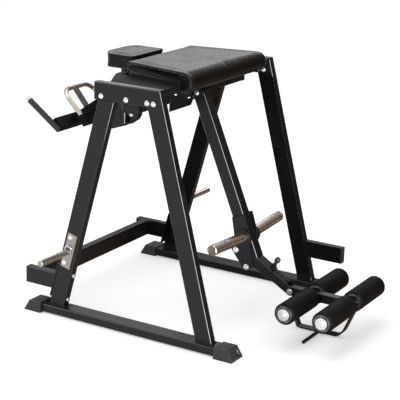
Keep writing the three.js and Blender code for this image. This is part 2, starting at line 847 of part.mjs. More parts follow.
const loopBarMid = loopBarTop.clone().addScaledVector(armUp, -loopBarHeight / 2);
const loopBar = bar(
  loopBarMid.clone().setY(-loopBarHalf), loopBarMid.clone().setY(loopBarHalf), armUp,
  loopBarDepth, loopBarHeight, tubeCorner / 2,
);
add("loop_bar", loopBar, black);
const loopTilt = THREE.MathUtils.degToRad(loopTiltDegrees);
const loopUp = vec(-Math.cos(loopTilt), 0, Math.sin(loopTilt));
const loopOut = vec(Math.sin(loopTilt), 0, Math.cos(loopTilt));
const loopBase = barCentre.clone().addScaledVector(loopOut, loopOffset);
const loopAt = (u, y) => loopBase.clone().addScaledVector(loopUp, u).setY(y);
const bendRun = loopTop - loopBend;
const bendHalf = loopHalf - loopBend;
const loopLine = [loopAt(loopFoot, -loopHalf), loopAt(bendRun, -loopHalf)];
for (let i = 1; i < 8; i += 1) {
  const angle = (Math.PI / 2) * (i / 8);
  loopLine.push(loopAt(bendRun + loopBend * Math.sin(angle), -bendHalf - loopBend * Math.cos(angle)));
}
loopLine.push(loopAt(loopTop, -bendHalf));
const loopBack = loopLine.map((p) => vec(p.x, -p.y, p.z)).reverse();
const loopAll = [...loopLine, ...loopBack];

// The round section is laid on at each bend of the path, so the straight runs take one step each
function pipe(points, radius, around) {
  const unit = points.map((p, i) => {
    const before = points[Math.max(i - 1, 0)];
    const after = points[Math.min(i + 1, points.length - 1)];
    return after.clone().sub(before).normalize();
  });
  const curve = new THREE.Curve();
  curve.getPoint = (t, target = new THREE.Vector3()) => {
    const at = Math.min(t, 1) * (points.length - 1);
    const i = Math.min(Math.floor(at), points.length - 2);
    return target.copy(points[i]).lerp(points[i + 1], at - i);
  };
  curve.getPointAt = curve.getPoint;
  curve.getTangent = (t, target = new THREE.Vector3()) =>
    target.copy(unit[Math.round(Math.min(t, 1) * (points.length - 1))]);
  curve.getTangentAt = curve.getTangent;
  const shape = new THREE.Shape();
  shape.absarc(0, 0, radius, 0, Math.PI * 2);
  return solid(new THREE.ExtrudeGeometry(shape, {
    steps: points.length - 1,
    extrudePath: curve,
    curveSegments: around / 2,
  }));
}
const loopTube = pipe(loopAll, loopRadius, 16);
const loopCut = loopBarTop.clone().addScaledVector(armUp, fitGap);
add("handle_loop", keep(loopTube, armUp, loopCut), chrome, 0.9, 0.25);

// Pendulum tube with its turned hub end
const hubPoint = vec(hubX, 0, hubZ);
const swing = hubPoint.clone().sub(pivotPoint).normalize();
const swingLength = hubPoint.distanceTo(pivotPoint);
const armSlope = THREE.MathUtils.degToRad(armSlopeDegrees);
const reachWay = vec(Math.cos(armSlope), 0, -Math.sin(armSlope));
const reachUp = vec(Math.sin(armSlope), 0, Math.cos(armSlope));
const armAxis = vec(armAxisX, 0, armAxisZ);
const armTop = armAxis.clone().addScaledVector(reachUp, armSleeveHeight / 2 + fitGap);
const tubeEnd = pivotPoint.clone().addScaledVector(swing, swingLength * 1.4);
let pendulum = bar(pivotPoint, tubeEnd, acrossY, pendulumSide, pendulumSide, tubeCorner);
const hubCylinder = rod(
  vec(pivotX, -pendulumSide / 2, pivotZ), vec(pivotX, pendulumSide / 2, pivotZ),
  pendulumSide / 2 - fitGap, 32,
);
pendulum = pendulum.add(hubCylinder);
const hollowStart = pivotPoint.clone().addScaledVector(swing, pendulumSide / 2 + tubeWall);
const hollowEnd = tubeEnd.clone().addScaledVector(swing, tubeWall);
const hollowSide = pendulumSide - tubeWall * 2;
pendulum = pendulum.subtract(bar(hollowStart, hollowEnd, acrossY, hollowSide, hollowSide, tubeCorner / 2));
pendulum = keep(pendulum.subtract(throughBore), reachUp, armTop);
add("pendulum_tube", pendulum, black);

// Side plates with the sleeve flanges, and the weight sleeves
const plateInner = pendulumSide / 2 + fitGap;
const plateOuter = plateInner + plateThickness;
const platePoints = plateShares.map(([a, b]) => [
  plateLeft + a * plateWidth,
  plateBottom + b * plateHeight,
]);
const flangeOuter = plateOuter + sleeveFlangeHeight;
const flangeRun = sleeveFlangeHeight + plateThickness / 2;
for (const [side, s] of [["near", -1], ["far", 1]]) {
  const y0 = s > 0 ? plateInner : -plateOuter;
  let plate = slab(outline([...platePoints].reverse()), y0, y0 + plateThickness);
  const flangeRoot = vec(hubX, s * (flangeOuter - flangeRun), hubZ);
  const flange = turned(flangeRoot, vec(hubX, s * flangeOuter, hubZ), [
    [0, 0], [sleeveFlangeRadius, 0], [sleeveFlangeRadius, flangeRun], [0, flangeRun],
  ], 36);
  plate = plate.add(flange);
  add("side_plate_" + side, plate, black);
  const end = vec(sleeveEndX, s * sleeveEndY, sleeveEndZ);
  const root = vec(hubX, 0, hubZ);
  const length = end.distanceTo(root);
  const mouthRadius = sleeveRadius - sleeveWall - sleeveChamfer;
  const sleeveFloor = length - sleeveChamfer;
  const sleeve = turned(root, end, [
    [0, 0], [sleeveRadius, 0], [sleeveRadius, sleeveFloor], [sleeveRadius - sleeveChamfer, length],
    [mouthRadius, length], [mouthRadius, sleeveFloor], [0, sleeveFloor],
  ], 32);
  const sleeveStart = vec(0, s * (flangeOuter + fitGap), 0);
  add("weight_sleeve_" + side, keep(sleeve, vec(0, s, 0), sleeveStart), chrome, 0.9, 0.3);
}

// Sleeve of the leg arm, with the spring pin's housing
const along = (t, n = 0) => armAxis.clone().addScaledVector(reachWay, t).addScaledVector(reachUp, n);
const lockFoot = along(lockRun);
const lockHead = along(lockRun, cutReach / 4);
const lockBore = rod(lockFoot, lockHead, lockHoleRadius, 16);
const armSleeve = bar(
  along(-armSleeveBack), along(armSleeveFront), reachUp,
  pendulumSide, armSleeveHeight, tubeCorner, armSleeveWall,
).subtract(lockBore);
add("arm_sleeve", armSleeve, black);
const housing = rod(
  along(lockRun, armSleeveHeight / 2 + fitGap), along(lockRun, armSleeveHeight / 2 + housingHeight),
  housingRadius,
).subtract(lockBore);
add("pin_housing", housing, black);
const pinFoot = armSleeveHeight / 2 - lockPinDip;
const pinNeck = lockPinDip + housingHeight + fitGap;
const pinShoulder = lockPinDip + knobBottom;
const springPin = turned(along(lockRun, pinFoot), along(lockRun, pinFoot + knobHeight), [
  [0, 0], [lockPinRadius, 0], [lockPinRadius, pinNeck],
  [knobNeckRadius, pinNeck], [knobNeckRadius, pinShoulder],
  [knobRadius, pinShoulder + fitGap], [knobRadius, pinShoulder + knobHeight * knobTaper],
  [knobRadius * knobTaper, pinShoulder + knobHeight], [0, pinShoulder + knobHeight],
]);
add("spring_pin", springPin, black, 0.1, 0.5);

// Leg arm: an open tube ending in two ears
const innerWide = pendulumSide - (armSleeveWall + slideGap) * 2;
const innerTall = armSleeveHeight - (armSleeveWall + slideGap) * 2;
let legArm = bar(along(-armTail), along(earReach), reachUp, innerWide, innerTall, tubeCorner / 2);
const earTip = along(earReach);
legArm = legArm.add(rod(
  earTip.clone().setY(-innerWide / 2), earTip.clone().setY(innerWide / 2), earRadius, 32,
));
const legBore = bar(
  along(-armTail - armInnerWall), along(armMouth + armInnerWall), reachUp,
  innerWide - armInnerWall * 2, innerTall - armInnerWall * 2, tubeCorner / 3,
);
const mouth = bar(
  along(armMouth), along(earReach + innerTall), reachUp,
  innerWide - armInnerWall * 2, innerTall * 2, tubeCorner / 3,
);
legArm = legArm.subtract(legBore).subtract(mouth);
for (const step of [0, 1, 2, 3]) {
  const t = lockRun + lockPitch * step;
  legArm = legArm.subtract(rod(along(t), along(t, innerTall), lockHoleRadius, 16));
}
const earBore = rod(
  earTip.clone().setY(-innerWide), earTip.clone().setY(innerWide), lowerPinRadius + fitGap,
);
add("leg_arm", legArm.subtract(earBore), black);

// Lower pivot pin
const lowerInner = innerWide / 2 + fitGap;
const lowerStack = lowerHeadHeight + washerThickness;
const lowerEnd = lowerInner + lowerStack;
const lowerWhole = lowerEnd * 2;
const lowerPin = turned(earTip.clone().setY(-lowerEnd), earTip.clone().setY(lowerEnd), [
  [0, 0], [lowerHeadRadius, 0], [lowerHeadRadius, lowerHeadHeight],
  [lowerWasherRadius, lowerHeadHeight], [lowerWasherRadius, lowerStack], [lowerPinRadius, lowerStack],
  [lowerPinRadius, lowerWhole - lowerStack], [lowerWasherRadius, lowerWhole - lowerStack],
  [lowerWasherRadius, lowerWhole - lowerHeadHeight], [lowerHeadRadius, lowerWhole - lowerHeadHeight],
  [lowerHeadRadius, lowerWhole], [0, lowerWhole],
]);
add("lower_pivot_pin", lowerPin, zinc, 0.9, 0.3);

// Roller frame
const barShape = new THREE.Shape();
const barRound = rollerBarHeight / 2;
barShape.moveTo(earTip.x, earTip.z - barRound);
barShape.lineTo(rollerBarEnd, axleHeight - barRound);
barShape.lineTo(rollerBarEnd, axleHeight + barRound);
barShape.lineTo(earTip.x, earTip.z + barRound);
barShape.absarc(earTip.x, earTip.z, barRound, Math.PI / 2, Math.PI * 1.5);
let rollerBar = slab(barShape, -rollerBarHalf, rollerBarHalf, 14).subtract(earBore);
const discEnd = rollerOuter + ringThickness + fitGap + discThickness;
for (const [place, x] of [["left", axleLeftX], ["right", axleRightX]]) {
  const low = vec(x, -discEnd - nutHeight, axleHeight);
  const high = vec(x, discEnd + nutHeight, axleHeight);
  const whole = (discEnd + nutHeight) * 2;
  rollerBar = rollerBar.subtract(rod(low, high, axleRadius + fitGap));
  const axle = turned(low, high, [
    [0, 0], [nutRadius, 0], [nutRadius, nutHeight], [discRadius, nutHeight],
    [discRadius, nutHeight + discThickness], [axleRadius, nutHeight + discThickness],
    [axleRadius, whole - nutHeight - discThickness], [discRadius, whole - nutHeight - discThickness],
    [discRadius, whole - nutHeight], [nutRadius, whole - nutHeight], [nutRadius, whole], [0, whole],
  ], 32);
  add("axle_" + place, axle, zinc, 0.9, 0.3);
  for (const [side, s] of [["near", -1], ["far", 1]]) {
    const bore = axleRadius + fitGap;
    const long = rollerOuter - rollerInner;
    const lip = rollerEdge * rollerEdgeShare;
    const roller = turned(vec(x, s * rollerInner, axleHeight), vec(x, s * rollerOuter, axleHeight), [
      [bore, 0], [rollerRadius - rollerEdge, 0], [rollerRadius - lip, lip],
      [rollerRadius, rollerEdge], [rollerRadius, long - rollerEdge],
      [rollerRadius - lip, long - lip], [rollerRadius - rollerEdge, long],
      [ringRadius, long], [ringRadius, long + ringThickness], [bore, long + ringThickness], [bore, 0],
    ], 36);
    add("roller_" + place + "_" + side, roller, leather, 0, 0.75);
  }
}
add("roller_bar", rollerBar, black);

// Foot bar: a bent flat strip below the roller bar, and its cross rod
function strip(points, thickness, bend) {
  const line = [];
  points.forEach((p, i) => {
    const before = points[i - 1];
    const after = points[i + 1];
    if (!before || !after) {
      line.push(new THREE.Vector2(p.x, p.z));
      return;
    }
    const here = new THREE.Vector2(p.x, p.z);
    const a = new THREE.Vector2(before.x, before.z).sub(here).normalize();
    const b = new THREE.Vector2(after.x, after.z).sub(here).normalize();
    const start = here.clone().addScaledVector(a, bend);
    const end = here.clone().addScaledVector(b, bend);
    for (let k = 0; k <= 4; k += 1) {
      const t = k / 4;
      const left = start.clone().lerp(here, t);
      line.push(left.lerp(here.clone().lerp(end, t), t));
    }
  });
  const normals = line.map((p, i) => {
    const before = line[Math.max(i - 1, 0)];
    const after = line[Math.min(i + 1, line.length - 1)];
    const way = after.clone().sub(before).normalize();
    return new THREE.Vector2(-way.y, way.x);
  });
  const left = line.map((p, i) => p.clone().addScaledVector(normals[i], thickness / 2));
  const right = line.map((p, i) => p.clone().addScaledVector(normals[i], -thickness / 2)).reverse();
  return new THREE.Shape([...right, ...left]);
}
const footShape = strip(footBarPoints, footBarThickness, footBarBend / 2);
const underBar = earTip.clone().add(vec(0, 0, -barRound - fitGap));
const barLine = vec(rollerBarEnd - earTip.x, 0, axleHeight - earTip.z);
const underNormal = vec(barLine.z, 0, -barLine.x);
add("foot_bar", keep(slab(footShape, -footBarHalf, footBarHalf), underNormal, underBar), black);
const footRod = rod(
  vec(footRodX, -footBarHalf - fitGap, footRodZ), vec(footRodX, -footBarHalf - footRodReach, footRodZ),
  footRodRadius, 20,
);
add("foot_rod", footRod, black);

// The part stands centred on the origin, with its soles on the ground
group.updateMatrixWorld(true);
const bounds = new THREE.Box3().setFromObject(group);
const middle = bounds.getCenter(new THREE.Vector3());
for (const mesh of group.children) mesh.geometry.translate(-middle.x, -middle.y, -bounds.min.z);

export default group;
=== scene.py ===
"""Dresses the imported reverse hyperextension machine: coats, cushions, rollers, hardware and studio."""

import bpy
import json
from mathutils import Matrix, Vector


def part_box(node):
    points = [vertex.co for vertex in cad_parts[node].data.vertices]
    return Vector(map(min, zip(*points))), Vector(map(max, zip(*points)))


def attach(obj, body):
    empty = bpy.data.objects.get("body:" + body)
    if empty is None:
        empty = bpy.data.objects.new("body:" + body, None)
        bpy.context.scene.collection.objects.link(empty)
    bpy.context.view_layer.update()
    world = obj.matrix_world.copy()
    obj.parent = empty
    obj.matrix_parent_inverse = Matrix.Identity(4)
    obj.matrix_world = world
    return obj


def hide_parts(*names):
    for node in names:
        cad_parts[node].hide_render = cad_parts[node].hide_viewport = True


bl_info = {
    "name": "Reverse Hyperextension Machine",
    "version": (1, 0, 0),
    "blender": (4, 5, 0),
    "location": "View3D > Sidebar > Bench",
    "description": "Builds the finished look of a reverse hyperextension machine around its frame",
    "category": "Add Mesh",
}

import json
import math

import bmesh
import bpy
import numpy as np
from bpy.props import FloatProperty, FloatVectorProperty, IntProperty, PointerProperty
from mathutils import Matrix

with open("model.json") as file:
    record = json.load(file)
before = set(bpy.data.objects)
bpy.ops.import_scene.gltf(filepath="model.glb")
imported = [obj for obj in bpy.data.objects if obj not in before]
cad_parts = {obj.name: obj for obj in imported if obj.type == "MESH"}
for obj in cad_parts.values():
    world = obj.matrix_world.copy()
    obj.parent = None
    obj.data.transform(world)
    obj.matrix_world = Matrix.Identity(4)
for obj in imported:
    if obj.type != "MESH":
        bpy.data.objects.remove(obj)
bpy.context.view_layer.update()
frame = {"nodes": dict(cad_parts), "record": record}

MM = 0.001
BOOT_TIP = 557
SOLE = 4
SHIFT = np.array([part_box("boot_front_near")[1].x - BOOT_TIP * MM, 0.0, SOLE * MM])
BODY_OF = {node: body for body, nodes in frame["record"]["behaviour"]["bodies"].items() for node in nodes}
SIDES = {"near": -1, "far": 1}

# The drawing's driving sizes, in millimetres, and its directions

TUBE_WIDE = 80
TUBE_DEEP = 40
TUBE_CORNER = 6
RAIL_TOP = 40
LEG_FOOT_X = 436
LEG_HEAD_X = 146.5
LEG_HEAD_Z = 1118
BEAM_LOW = 1037
BEAM_MID = 1057
CROSS_BEAM = (-27, 1032)
MID_Y = 487
OUTER_Y = MID_Y + TUBE_DEEP / 2
INNER_Y = MID_Y - TUBE_DEEP / 2

ACROSS = np.array([0.0, 1.0, 0.0])
UP = np.array([0.0, 0.0, 1.0])
AHEAD = np.array([1.0, 0.0, 0.0])
MIRROR = np.array([-1, 1, 1])
LEAN = math.atan2(LEG_FOOT_X - LEG_HEAD_X, LEG_HEAD_Z - RAIL_TOP)
LEG_UP = np.array([-math.sin(LEAN), 0.0, math.cos(LEAN)])
LEG_IN = np.array([-math.cos(LEAN), 0.0, -math.sin(LEAN)])
REAR_UP = LEG_UP * MIRROR
REAR_OUT = -LEG_IN * MIRROR
ARM_SLOPE = math.radians(29.8)
ARM_WAY = np.array([math.cos(ARM_SLOPE), 0.0, -math.sin(ARM_SLOPE)])
ARM_UP = np.array([math.sin(ARM_SLOPE), 0.0, math.cos(ARM_SLOPE)])


# Sizes and colours that a user would change

class BenchCoat(bpy.types.PropertyGroup):
    colour: FloatVectorProperty(
        name="Coat colour", description="Colour of the powder coat", subtype="COLOR", size=3,
        min=0, max=1, default=(0.0048, 0.0048, 0.0054))
    roughness: FloatProperty(
        name="Coat roughness", description="Roughness of the powder coat", default=0.36, min=0.05, max=1)
    edge: FloatProperty(
        name="Edge radius", description="Rounding of the cut edges", default=0.0011, unit="LENGTH")
    bead: FloatProperty(
        name="Weld bead", description="Radius of the weld beads", default=0.0032, unit="LENGTH")


class BenchCushion(bpy.types.PropertyGroup):
    colour: FloatVectorProperty(
        name="Leather colour", description="Colour of the leather", subtype="COLOR", size=3,
        min=0, max=1, default=(0.005, 0.005, 0.0053))
    roughness: FloatProperty(
        name="Leather roughness", description="Roughness of the leather", default=0.3, min=0.05, max=1)
    pressure: FloatProperty(
        name="Stuffing", description="Pressure that swells the covers", default=4.0, min=0)
    voxel: FloatProperty(
        name="Cell", description="Cell size of the cover's mesh", default=0.006, unit="LENGTH")
    swell: FloatProperty(
        name="Swell", description="Furthest that a point may swell", default=0.006, unit="LENGTH")
    piping: FloatProperty(
        name="Piping", description="Radius of the piping", default=0.0021, unit="LENGTH")
    stitch: FloatProperty(
        name="Stitch", description="Length of a stitch", default=0.0075, unit="LENGTH")


class BenchHardware(bpy.types.PropertyGroup):
    zinc: FloatVectorProperty(
        name="Zinc colour", description="Colour of the plated bolts", subtype="COLOR", size=3,
        min=0, max=1, default=(0.66, 0.66, 0.66))
    chrome: FloatVectorProperty(
        name="Chrome colour", description="Colour of the plated tubes", subtype="COLOR", size=3,
        min=0, max=1, default=(0.6, 0.56, 0.52))
    head: FloatProperty(
        name="Bolt head", description="Radius of a bolt head over its corners", default=0.0098, unit="LENGTH")
    washer: FloatProperty(
        name="Washer", description="Radius of a washer", default=0.0115, unit="LENGTH")
    ribs: IntProperty(
        name="Ring ribs", description="Ribs on each roller ring", default=28, min=6, max=90)


class BenchStudio(bpy.types.PropertyGroup):
    ambient: FloatProperty(
        name="Ambient", description="Level of the surrounding light", default=0.8, min=0)
    overhead: FloatProperty(
        name="Overhead", description="Power of the overhead lamp", default=55, min=0, unit="POWER")
    side: FloatProperty(
        name="Side", description="Power of the side lamp", default=40, min=0, unit="POWER")
    rim: FloatProperty(
        name="Rim", description="Brightness of the card that draws the edges", default=20.0, min=0)
    lens: FloatProperty(
        name="Lens", description="Focal length of the camera in millimetres", default=118.27, min=1)


GROUPS = (("bench_coat", BenchCoat), ("bench_cushion", BenchCushion),
          ("bench_hardware", BenchHardware), ("bench_studio", BenchStudio))


# Places and surfaces

def at(x, y, z):
    """A point of the drawing, in millimetres from the middle of the side frames, as metres in the frame."""
    return np.array([x, y, z], float) * MM + SHIFT


def unit(v):
    """v divided by its length, along the last axis."""
    v = np.asarray(v, float)
    return v / np.maximum(np.linalg.norm(v, axis=-1, keepdims=True), 1e-12)


NEARLY_UPRIGHT = 0.95


def basis(axis):
    """Three columns: two square to the axis, from its cross products with the upward direction, and the axis
    itself. A nearly upright axis takes the forward direction in place of the upward one."""
    w = unit(axis)
    u = unit(np.cross(AHEAD if abs(w @ UP) > NEARLY_UPRIGHT else UP, w))
    return np.stack([u, np.cross(w, u), w], axis=1)


def cells(count, rows, columns, wrap):
    """Four corners for each cell of count equal grids. Columns close on themselves, and rows do with wrap."""
    r = np.arange(rows if wrap else rows - 1)[None, :, None]
    c = np.arange(columns)[None, None, :]
    k = np.arange(count)[:, None, None] * rows * columns
    r2, c2 = (r + 1) % rows, (c + 1) % columns
    corners = (r * columns + c, r * columns + c2, r2 * columns + c2, r2 * columns + c)
    return np.stack([k + q for q in corners], -1).reshape(-1, 4)


def new_object(name, data):
    """An object at the origin, linked to the scene."""
    obj = bpy.data.objects.new(name, data)
    bpy.context.scene.collection.objects.link(obj)
    return obj


def smooth(mesh):
    """Shades every face smooth."""
    mesh.polygons.foreach_set("use_smooth", np.ones(len(mesh.polygons), bool))


def moved_to(mesh, points):
    """Puts the mesh's points in their new places."""
    mesh.vertices.foreach_set("co", points.ravel())
    mesh.update()


def piece(name, blocks, material, body, sharp=35.0):
    """One object from blocks of (grids, wrap): each block holds count x rows x columns x 3 points."""
    points, faces, start = [], [], 0
    for grids, wrap in blocks:
        count, rows, columns, _ = grids.shape
        points.append(grids.reshape(-1, 3))
        faces.append(cells(count, rows, columns, wrap) + start)
        start += count * rows * columns
    mesh = bpy.data.meshes.new(name)
    mesh.from_pydata(np.concatenate(points), [], np.concatenate(faces))
    obj = new_object(name, mesh)
    closed(mesh, sharp)
    mesh.materials.append(material)
    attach(obj, body)
    return obj


MERGE = 2e-6
DEGENERATE = 1e-7


def closed(mesh, sharp):
    """Merges doubled points, turns all faces outwards and shades smooth up to the sharp angle."""
    bm = bmesh.new()
    bm.from_mesh(mesh)
    bmesh.ops.remove_doubles(bm, verts=bm.verts, dist=MERGE)
    bmesh.ops.dissolve_degenerate(bm, edges=bm.edges, dist=DEGENERATE)
    bmesh.ops.recalc_face_normals(bm, faces=bm.faces)
    bm.to_mesh(mesh)
    bm.free()
    smooth(mesh)
    mesh.set_sharp_from_angle(angle=math.radians(sharp))


def lathe(profile, around=32, flats=0.0):
    """Turned surface on the Z axis. Each profile row is (radius, run, flat share); the point at angle t is
    radius times (cos t, sin t) at the run. Where the share is above 0 the radius is cut by a hexagon whose
    flats lie at the flats distance: flats / cos(t - nearest flat)."""
    rows = np.asarray(profile, float)
    if rows.shape[1] == 2:
        rows = np.column_stack([rows, np.zeros(len(rows))])
    t = np.arange(around) * 2 * math.pi / around
    radius = np.repeat(rows[:, :1], around, axis=1)
    if flats:
        nearest_flat = np.round(t / (math.pi / 3)) * math.pi / 3
        hexagon = flats / np.cos(t - nearest_flat)
        radius = np.where(rows[:, 2:] > 0, np.minimum(radius, hexagon[None, :]), radius)
    run = np.repeat(rows[:, 1:2], around, axis=1)
    return np.stack([radius * np.cos(t), radius * np.sin(t), run], -1)


def placed(shape, places, axes, turns=None):
    """Copies of one grid: each point p becomes place + basis(axis) p, turned about the axis first."""
    places = np.atleast_2d(places)
    frames = np.stack([basis(axis) for axis in np.atleast_2d(axes)])
    if len(frames) == 1:
        frames = np.repeat(frames, len(places), axis=0)
    if turns is not None:
        c, s = np.cos(turns), np.sin(turns)
        u = frames[:, :, 0] * c[:, None] + frames[:, :, 1] * s[:, None]
        v = frames[:, :, 1] * c[:, None] - frames[:, :, 0] * s[:, None]
        frames = np.stack([u, v, frames[:, :, 2]], -1)
    return framed(shape, places, frames)


def framed(shape, places, frames):
    """Copies of one grid: each point p becomes place + frame p, where a frame holds three columns."""
    return np.einsum("kij,rcj->krci", frames, shape) + places[:, None, None, :]


def turned(name, profile, around, place, axis, material, body, sharp=35.0):
    """One turned piece: the profile, in millimetres, swung round the axis that leaves the place."""
    shape = lathe(np.asarray(profile, float) * MM, around)
    return piece(name, [(placed(shape, place, axis), False)], material, body, sharp)


LIP_SHARE = 0.72
LIP_RISE = 0.45
DOME_RISE = 0.6


def swept(path, radius, around, wrap, hint):
    """A round cord along a path: each point is the path's point plus radius times cos t along the side and
    sin t along the third direction, both square to the tangent. Open ends close in a short dome."""
    ahead = np.roll(path, -1, axis=0) - np.roll(path, 1, axis=0)
    if not wrap:
        ahead[0], ahead[-1] = path[1] - path[0], path[-1] - path[-2]
    tangent = unit(ahead)
    side = unit(np.cross(hint, tangent))
    third = np.cross(tangent, side)
    t = np.arange(around) * 2 * math.pi / around
    r = np.broadcast_to(np.asarray(radius, float), (len(path),))[:, None, None]
    ring = side[:, None, :] * np.cos(t)[None, :, None] + third[:, None, :] * np.sin(t)[None, :, None]
    rows = path[:, None, :] + r * ring
    if wrap:
        return rows[None], True
    ends = []
    for k, way in ((0, -1), (-1, 1)):
        out = tangent[k] * r[k, 0, 0] * way
        lip = path[k] + out * LIP_RISE + (rows[k] - path[k]) * LIP_SHARE
        ends.append((lip, np.repeat((path[k] + out * DOME_RISE)[None, :], around, axis=0)))
    (first_lip, first_tip), (last_lip, last_tip) = ends
    return np.concatenate([[first_tip, first_lip], rows, [last_lip, last_tip]])[None], False


def rounded(width, height, corner, steps=5):
    """A rectangle with round corners, as points on its outline, walked once round from the right side."""
    t = np.linspace(0, math.pi / 2, steps)
    arcs = []
    for k, (sx, sy) in enumerate(((1, 1), (-1, 1), (-1, -1), (1, -1))):
        centre = np.array([sx * (width / 2 - corner), sy * (height / 2 - corner)])
        turn = t + k * math.pi / 2
        arcs.append(centre + corner * np.stack([np.cos(turn), np.sin(turn)], -1))
    return np.concatenate(arcs)


def seam_loop(centre, way, first, second, section, plane_point, plane_normal, step=0.002):
    """Where a straight tube meets a plane: each outline point runs along the tube until it is in the plane,
    by (plane point - point) . normal / (way . normal). The loop is then resampled at even steps."""
    start = centre + section[:, :1] * MM * first + section[:, 1:] * MM * second
    run = ((plane_point - start) @ plane_normal) / (way @ plane_normal)
    return resampled(start + run[:, None] * way, step, True)


def resampled(path, step, wrap):
    """The same path with points an even step apart along its length."""
    path = np.concatenate([path, path[:1]]) if wrap else path
    length = np.concatenate([[0], np.cumsum(np.linalg.norm(np.diff(path, axis=0), axis=1))])
    count = max(int(round(length[-1] / step)), 4)
    s = np.linspace(0, length[-1], count, endpoint=not wrap)
    return np.stack([np.interp(s, length, path[:, k]) for k in range(3)], -1)


def rippled(count, radius, wave=4, depth=0.14, drift=0.05, drift_rate=0.37):
    """Radius along a weld bead: the mean times 1 + depth cos of the scales, wave points to a scale, plus a
    slow drift."""
    k = np.arange(count)
    return radius * (1 + depth * np.cos(2 * math.pi * k / wave) + drift * np.sin(k * drift_rate))


def point_normals(mesh):
    """Points and their outward normals, as two arrays."""
    points = np.empty(len(mesh.vertices) * 3)
    normals = np.empty(len(mesh.vertices) * 3)
    mesh.vertices.foreach_get("co", points)
    mesh.vertex_normals.foreach_get("vector", normals)
    return points.reshape(-1, 3), normals.reshape(-1, 3)


def nearest(path, points, batch=64):
    """For each path point, the index of the nearest mesh point and its distance, taken in batches."""
    found, away = [], []
    for part in np.array_split(path, max(1, len(path) // batch)):
        d = np.linalg.norm(part[:, None, :] - points[None], axis=2)
        found.append(d.argmin(1))
        away.append(d.min(1))
    return np.concatenate(found), np.concatenate(away)


def laid_on(path, points, normals, lift, wrap, passes=3):
    """The path moved onto a surface: each point drops to the tangent plane of the nearest mesh point, and the
    path is smoothed three times as (before + 2 here + after) / 4, in each pass. At last it is lifted along
    the normal."""
    for _ in range(passes):
        k, _away = nearest(path, points)
        path = path - np.sum((path - points[k]) * normals[k], axis=1)[:, None] * normals[k]
        for _ in range(3):
            smooth = (np.roll(path, 1, axis=0) + 2 * path + np.roll(path, -1, axis=0)) / 4
            if not wrap:
                smooth[0], smooth[-1] = path[0], path[-1]
            path = smooth
    k, _away = nearest(path, points)
    return path + normals[k] * lift, normals[k]


# Shader groups and finishes

PREFIX = "bench_"
MIX_A, MIX_B, MIX_RESULT = 6, 7, 2
DUST_COLOUR = (0.35, 0.34, 0.33, 1)
PATCH_LOW, PATCH_HIGH = 0.25, 0.75
SMOOTHEST = 0.02


def shader_group(name, inputs, outputs):
    """An empty group with inputs and outputs of (name, type), and its two end nodes."""
    group = bpy.data.node_groups.new(name, "ShaderNodeTree")
    for way, sockets in (("INPUT", inputs), ("OUTPUT", outputs)):
        for label, kind in sockets:
            group.interface.new_socket(label, in_out=way, socket_type="NodeSocket" + kind)
    return group, group.nodes.new("NodeGroupInput").outputs, group.nodes.new("NodeGroupOutput").inputs


def shared_group(name, build):
    """The shader group of that name, built on its first use."""
    return bpy.data.node_groups.get(name) or build(name)


def preset(made, **values):
    """Sets a node's sockets by name, with _ for a space."""
    for key, value in values.items():
        made.inputs[key.replace("_", " ")].default_value = value


def node(tree, kind, links=(), setup=None, **values):
    """A node with its own settings made first, then its sockets preset and linked as (input, output)."""
    made = tree.nodes.new(kind)
    for key, value in (setup or {}).items():
        setattr(made, key, value)
    preset(made, **values)
    for socket, source in links:
        tree.links.new(source, made.inputs[socket])
    return made


def maths(tree, operation, first, second):
    """A Math node; each side is a socket or a number."""
    made = node(tree, "ShaderNodeMath", setup={"operation": operation})
    for k, side in enumerate((first, second)):
        if isinstance(side, (int, float)):
            made.inputs[k].default_value = side
        else:
            tree.links.new(side, made.inputs[k])
    return made.outputs[0]


def grain_group(name):
    """Fine grain: noise at the scale plus half as much at three times the scale, and a slow patchy mask."""
    group, given, out = shader_group(
        name, [("Vector", "Vector"), ("Scale", "Float"), ("Patch Scale", "Float")],
        [("Height", "Float"), ("Patches", "Float")])

    def noise(scale, detail):
        links = [("Vector", given["Vector"]), ("Scale", scale)]
        return node(group, "ShaderNodeTexNoise", links, Detail=detail).outputs["Fac"]

    fine = noise(maths(group, "MULTIPLY", given["Scale"], 3.0), 1.0)
    height = maths(group, "ADD", noise(given["Scale"], 2.0), maths(group, "MULTIPLY", fine, 0.5))
    group.links.new(height, out["Height"])
    group.links.new(noise(given["Patch Scale"], 4.0), out["Patches"])
    return group


def dust_group(name):
    """Dust: the upward part of the surface normal, cubed, times a patchy noise and the amount."""
    group, given, out = shader_group(
        name, [("Vector", "Vector"), ("Normal", "Vector"), ("Amount", "Float")], [("Mask", "Float")])
    split = node(group, "ShaderNodeSeparateXYZ", [("Vector", given["Normal"])])
    upward = maths(group, "POWER", maths(group, "MAXIMUM", split.outputs["Z"], 0.0), 3.0)
    noise = node(group, "ShaderNodeTexNoise", [("Vector", given["Vector"])], Scale=38.0, Detail=5.0)
    patchy = maths(group, "MULTIPLY", upward, noise.outputs["Fac"])
    group.links.new(maths(group, "MULTIPLY", patchy, given["Amount"]), out["Mask"])
    return group


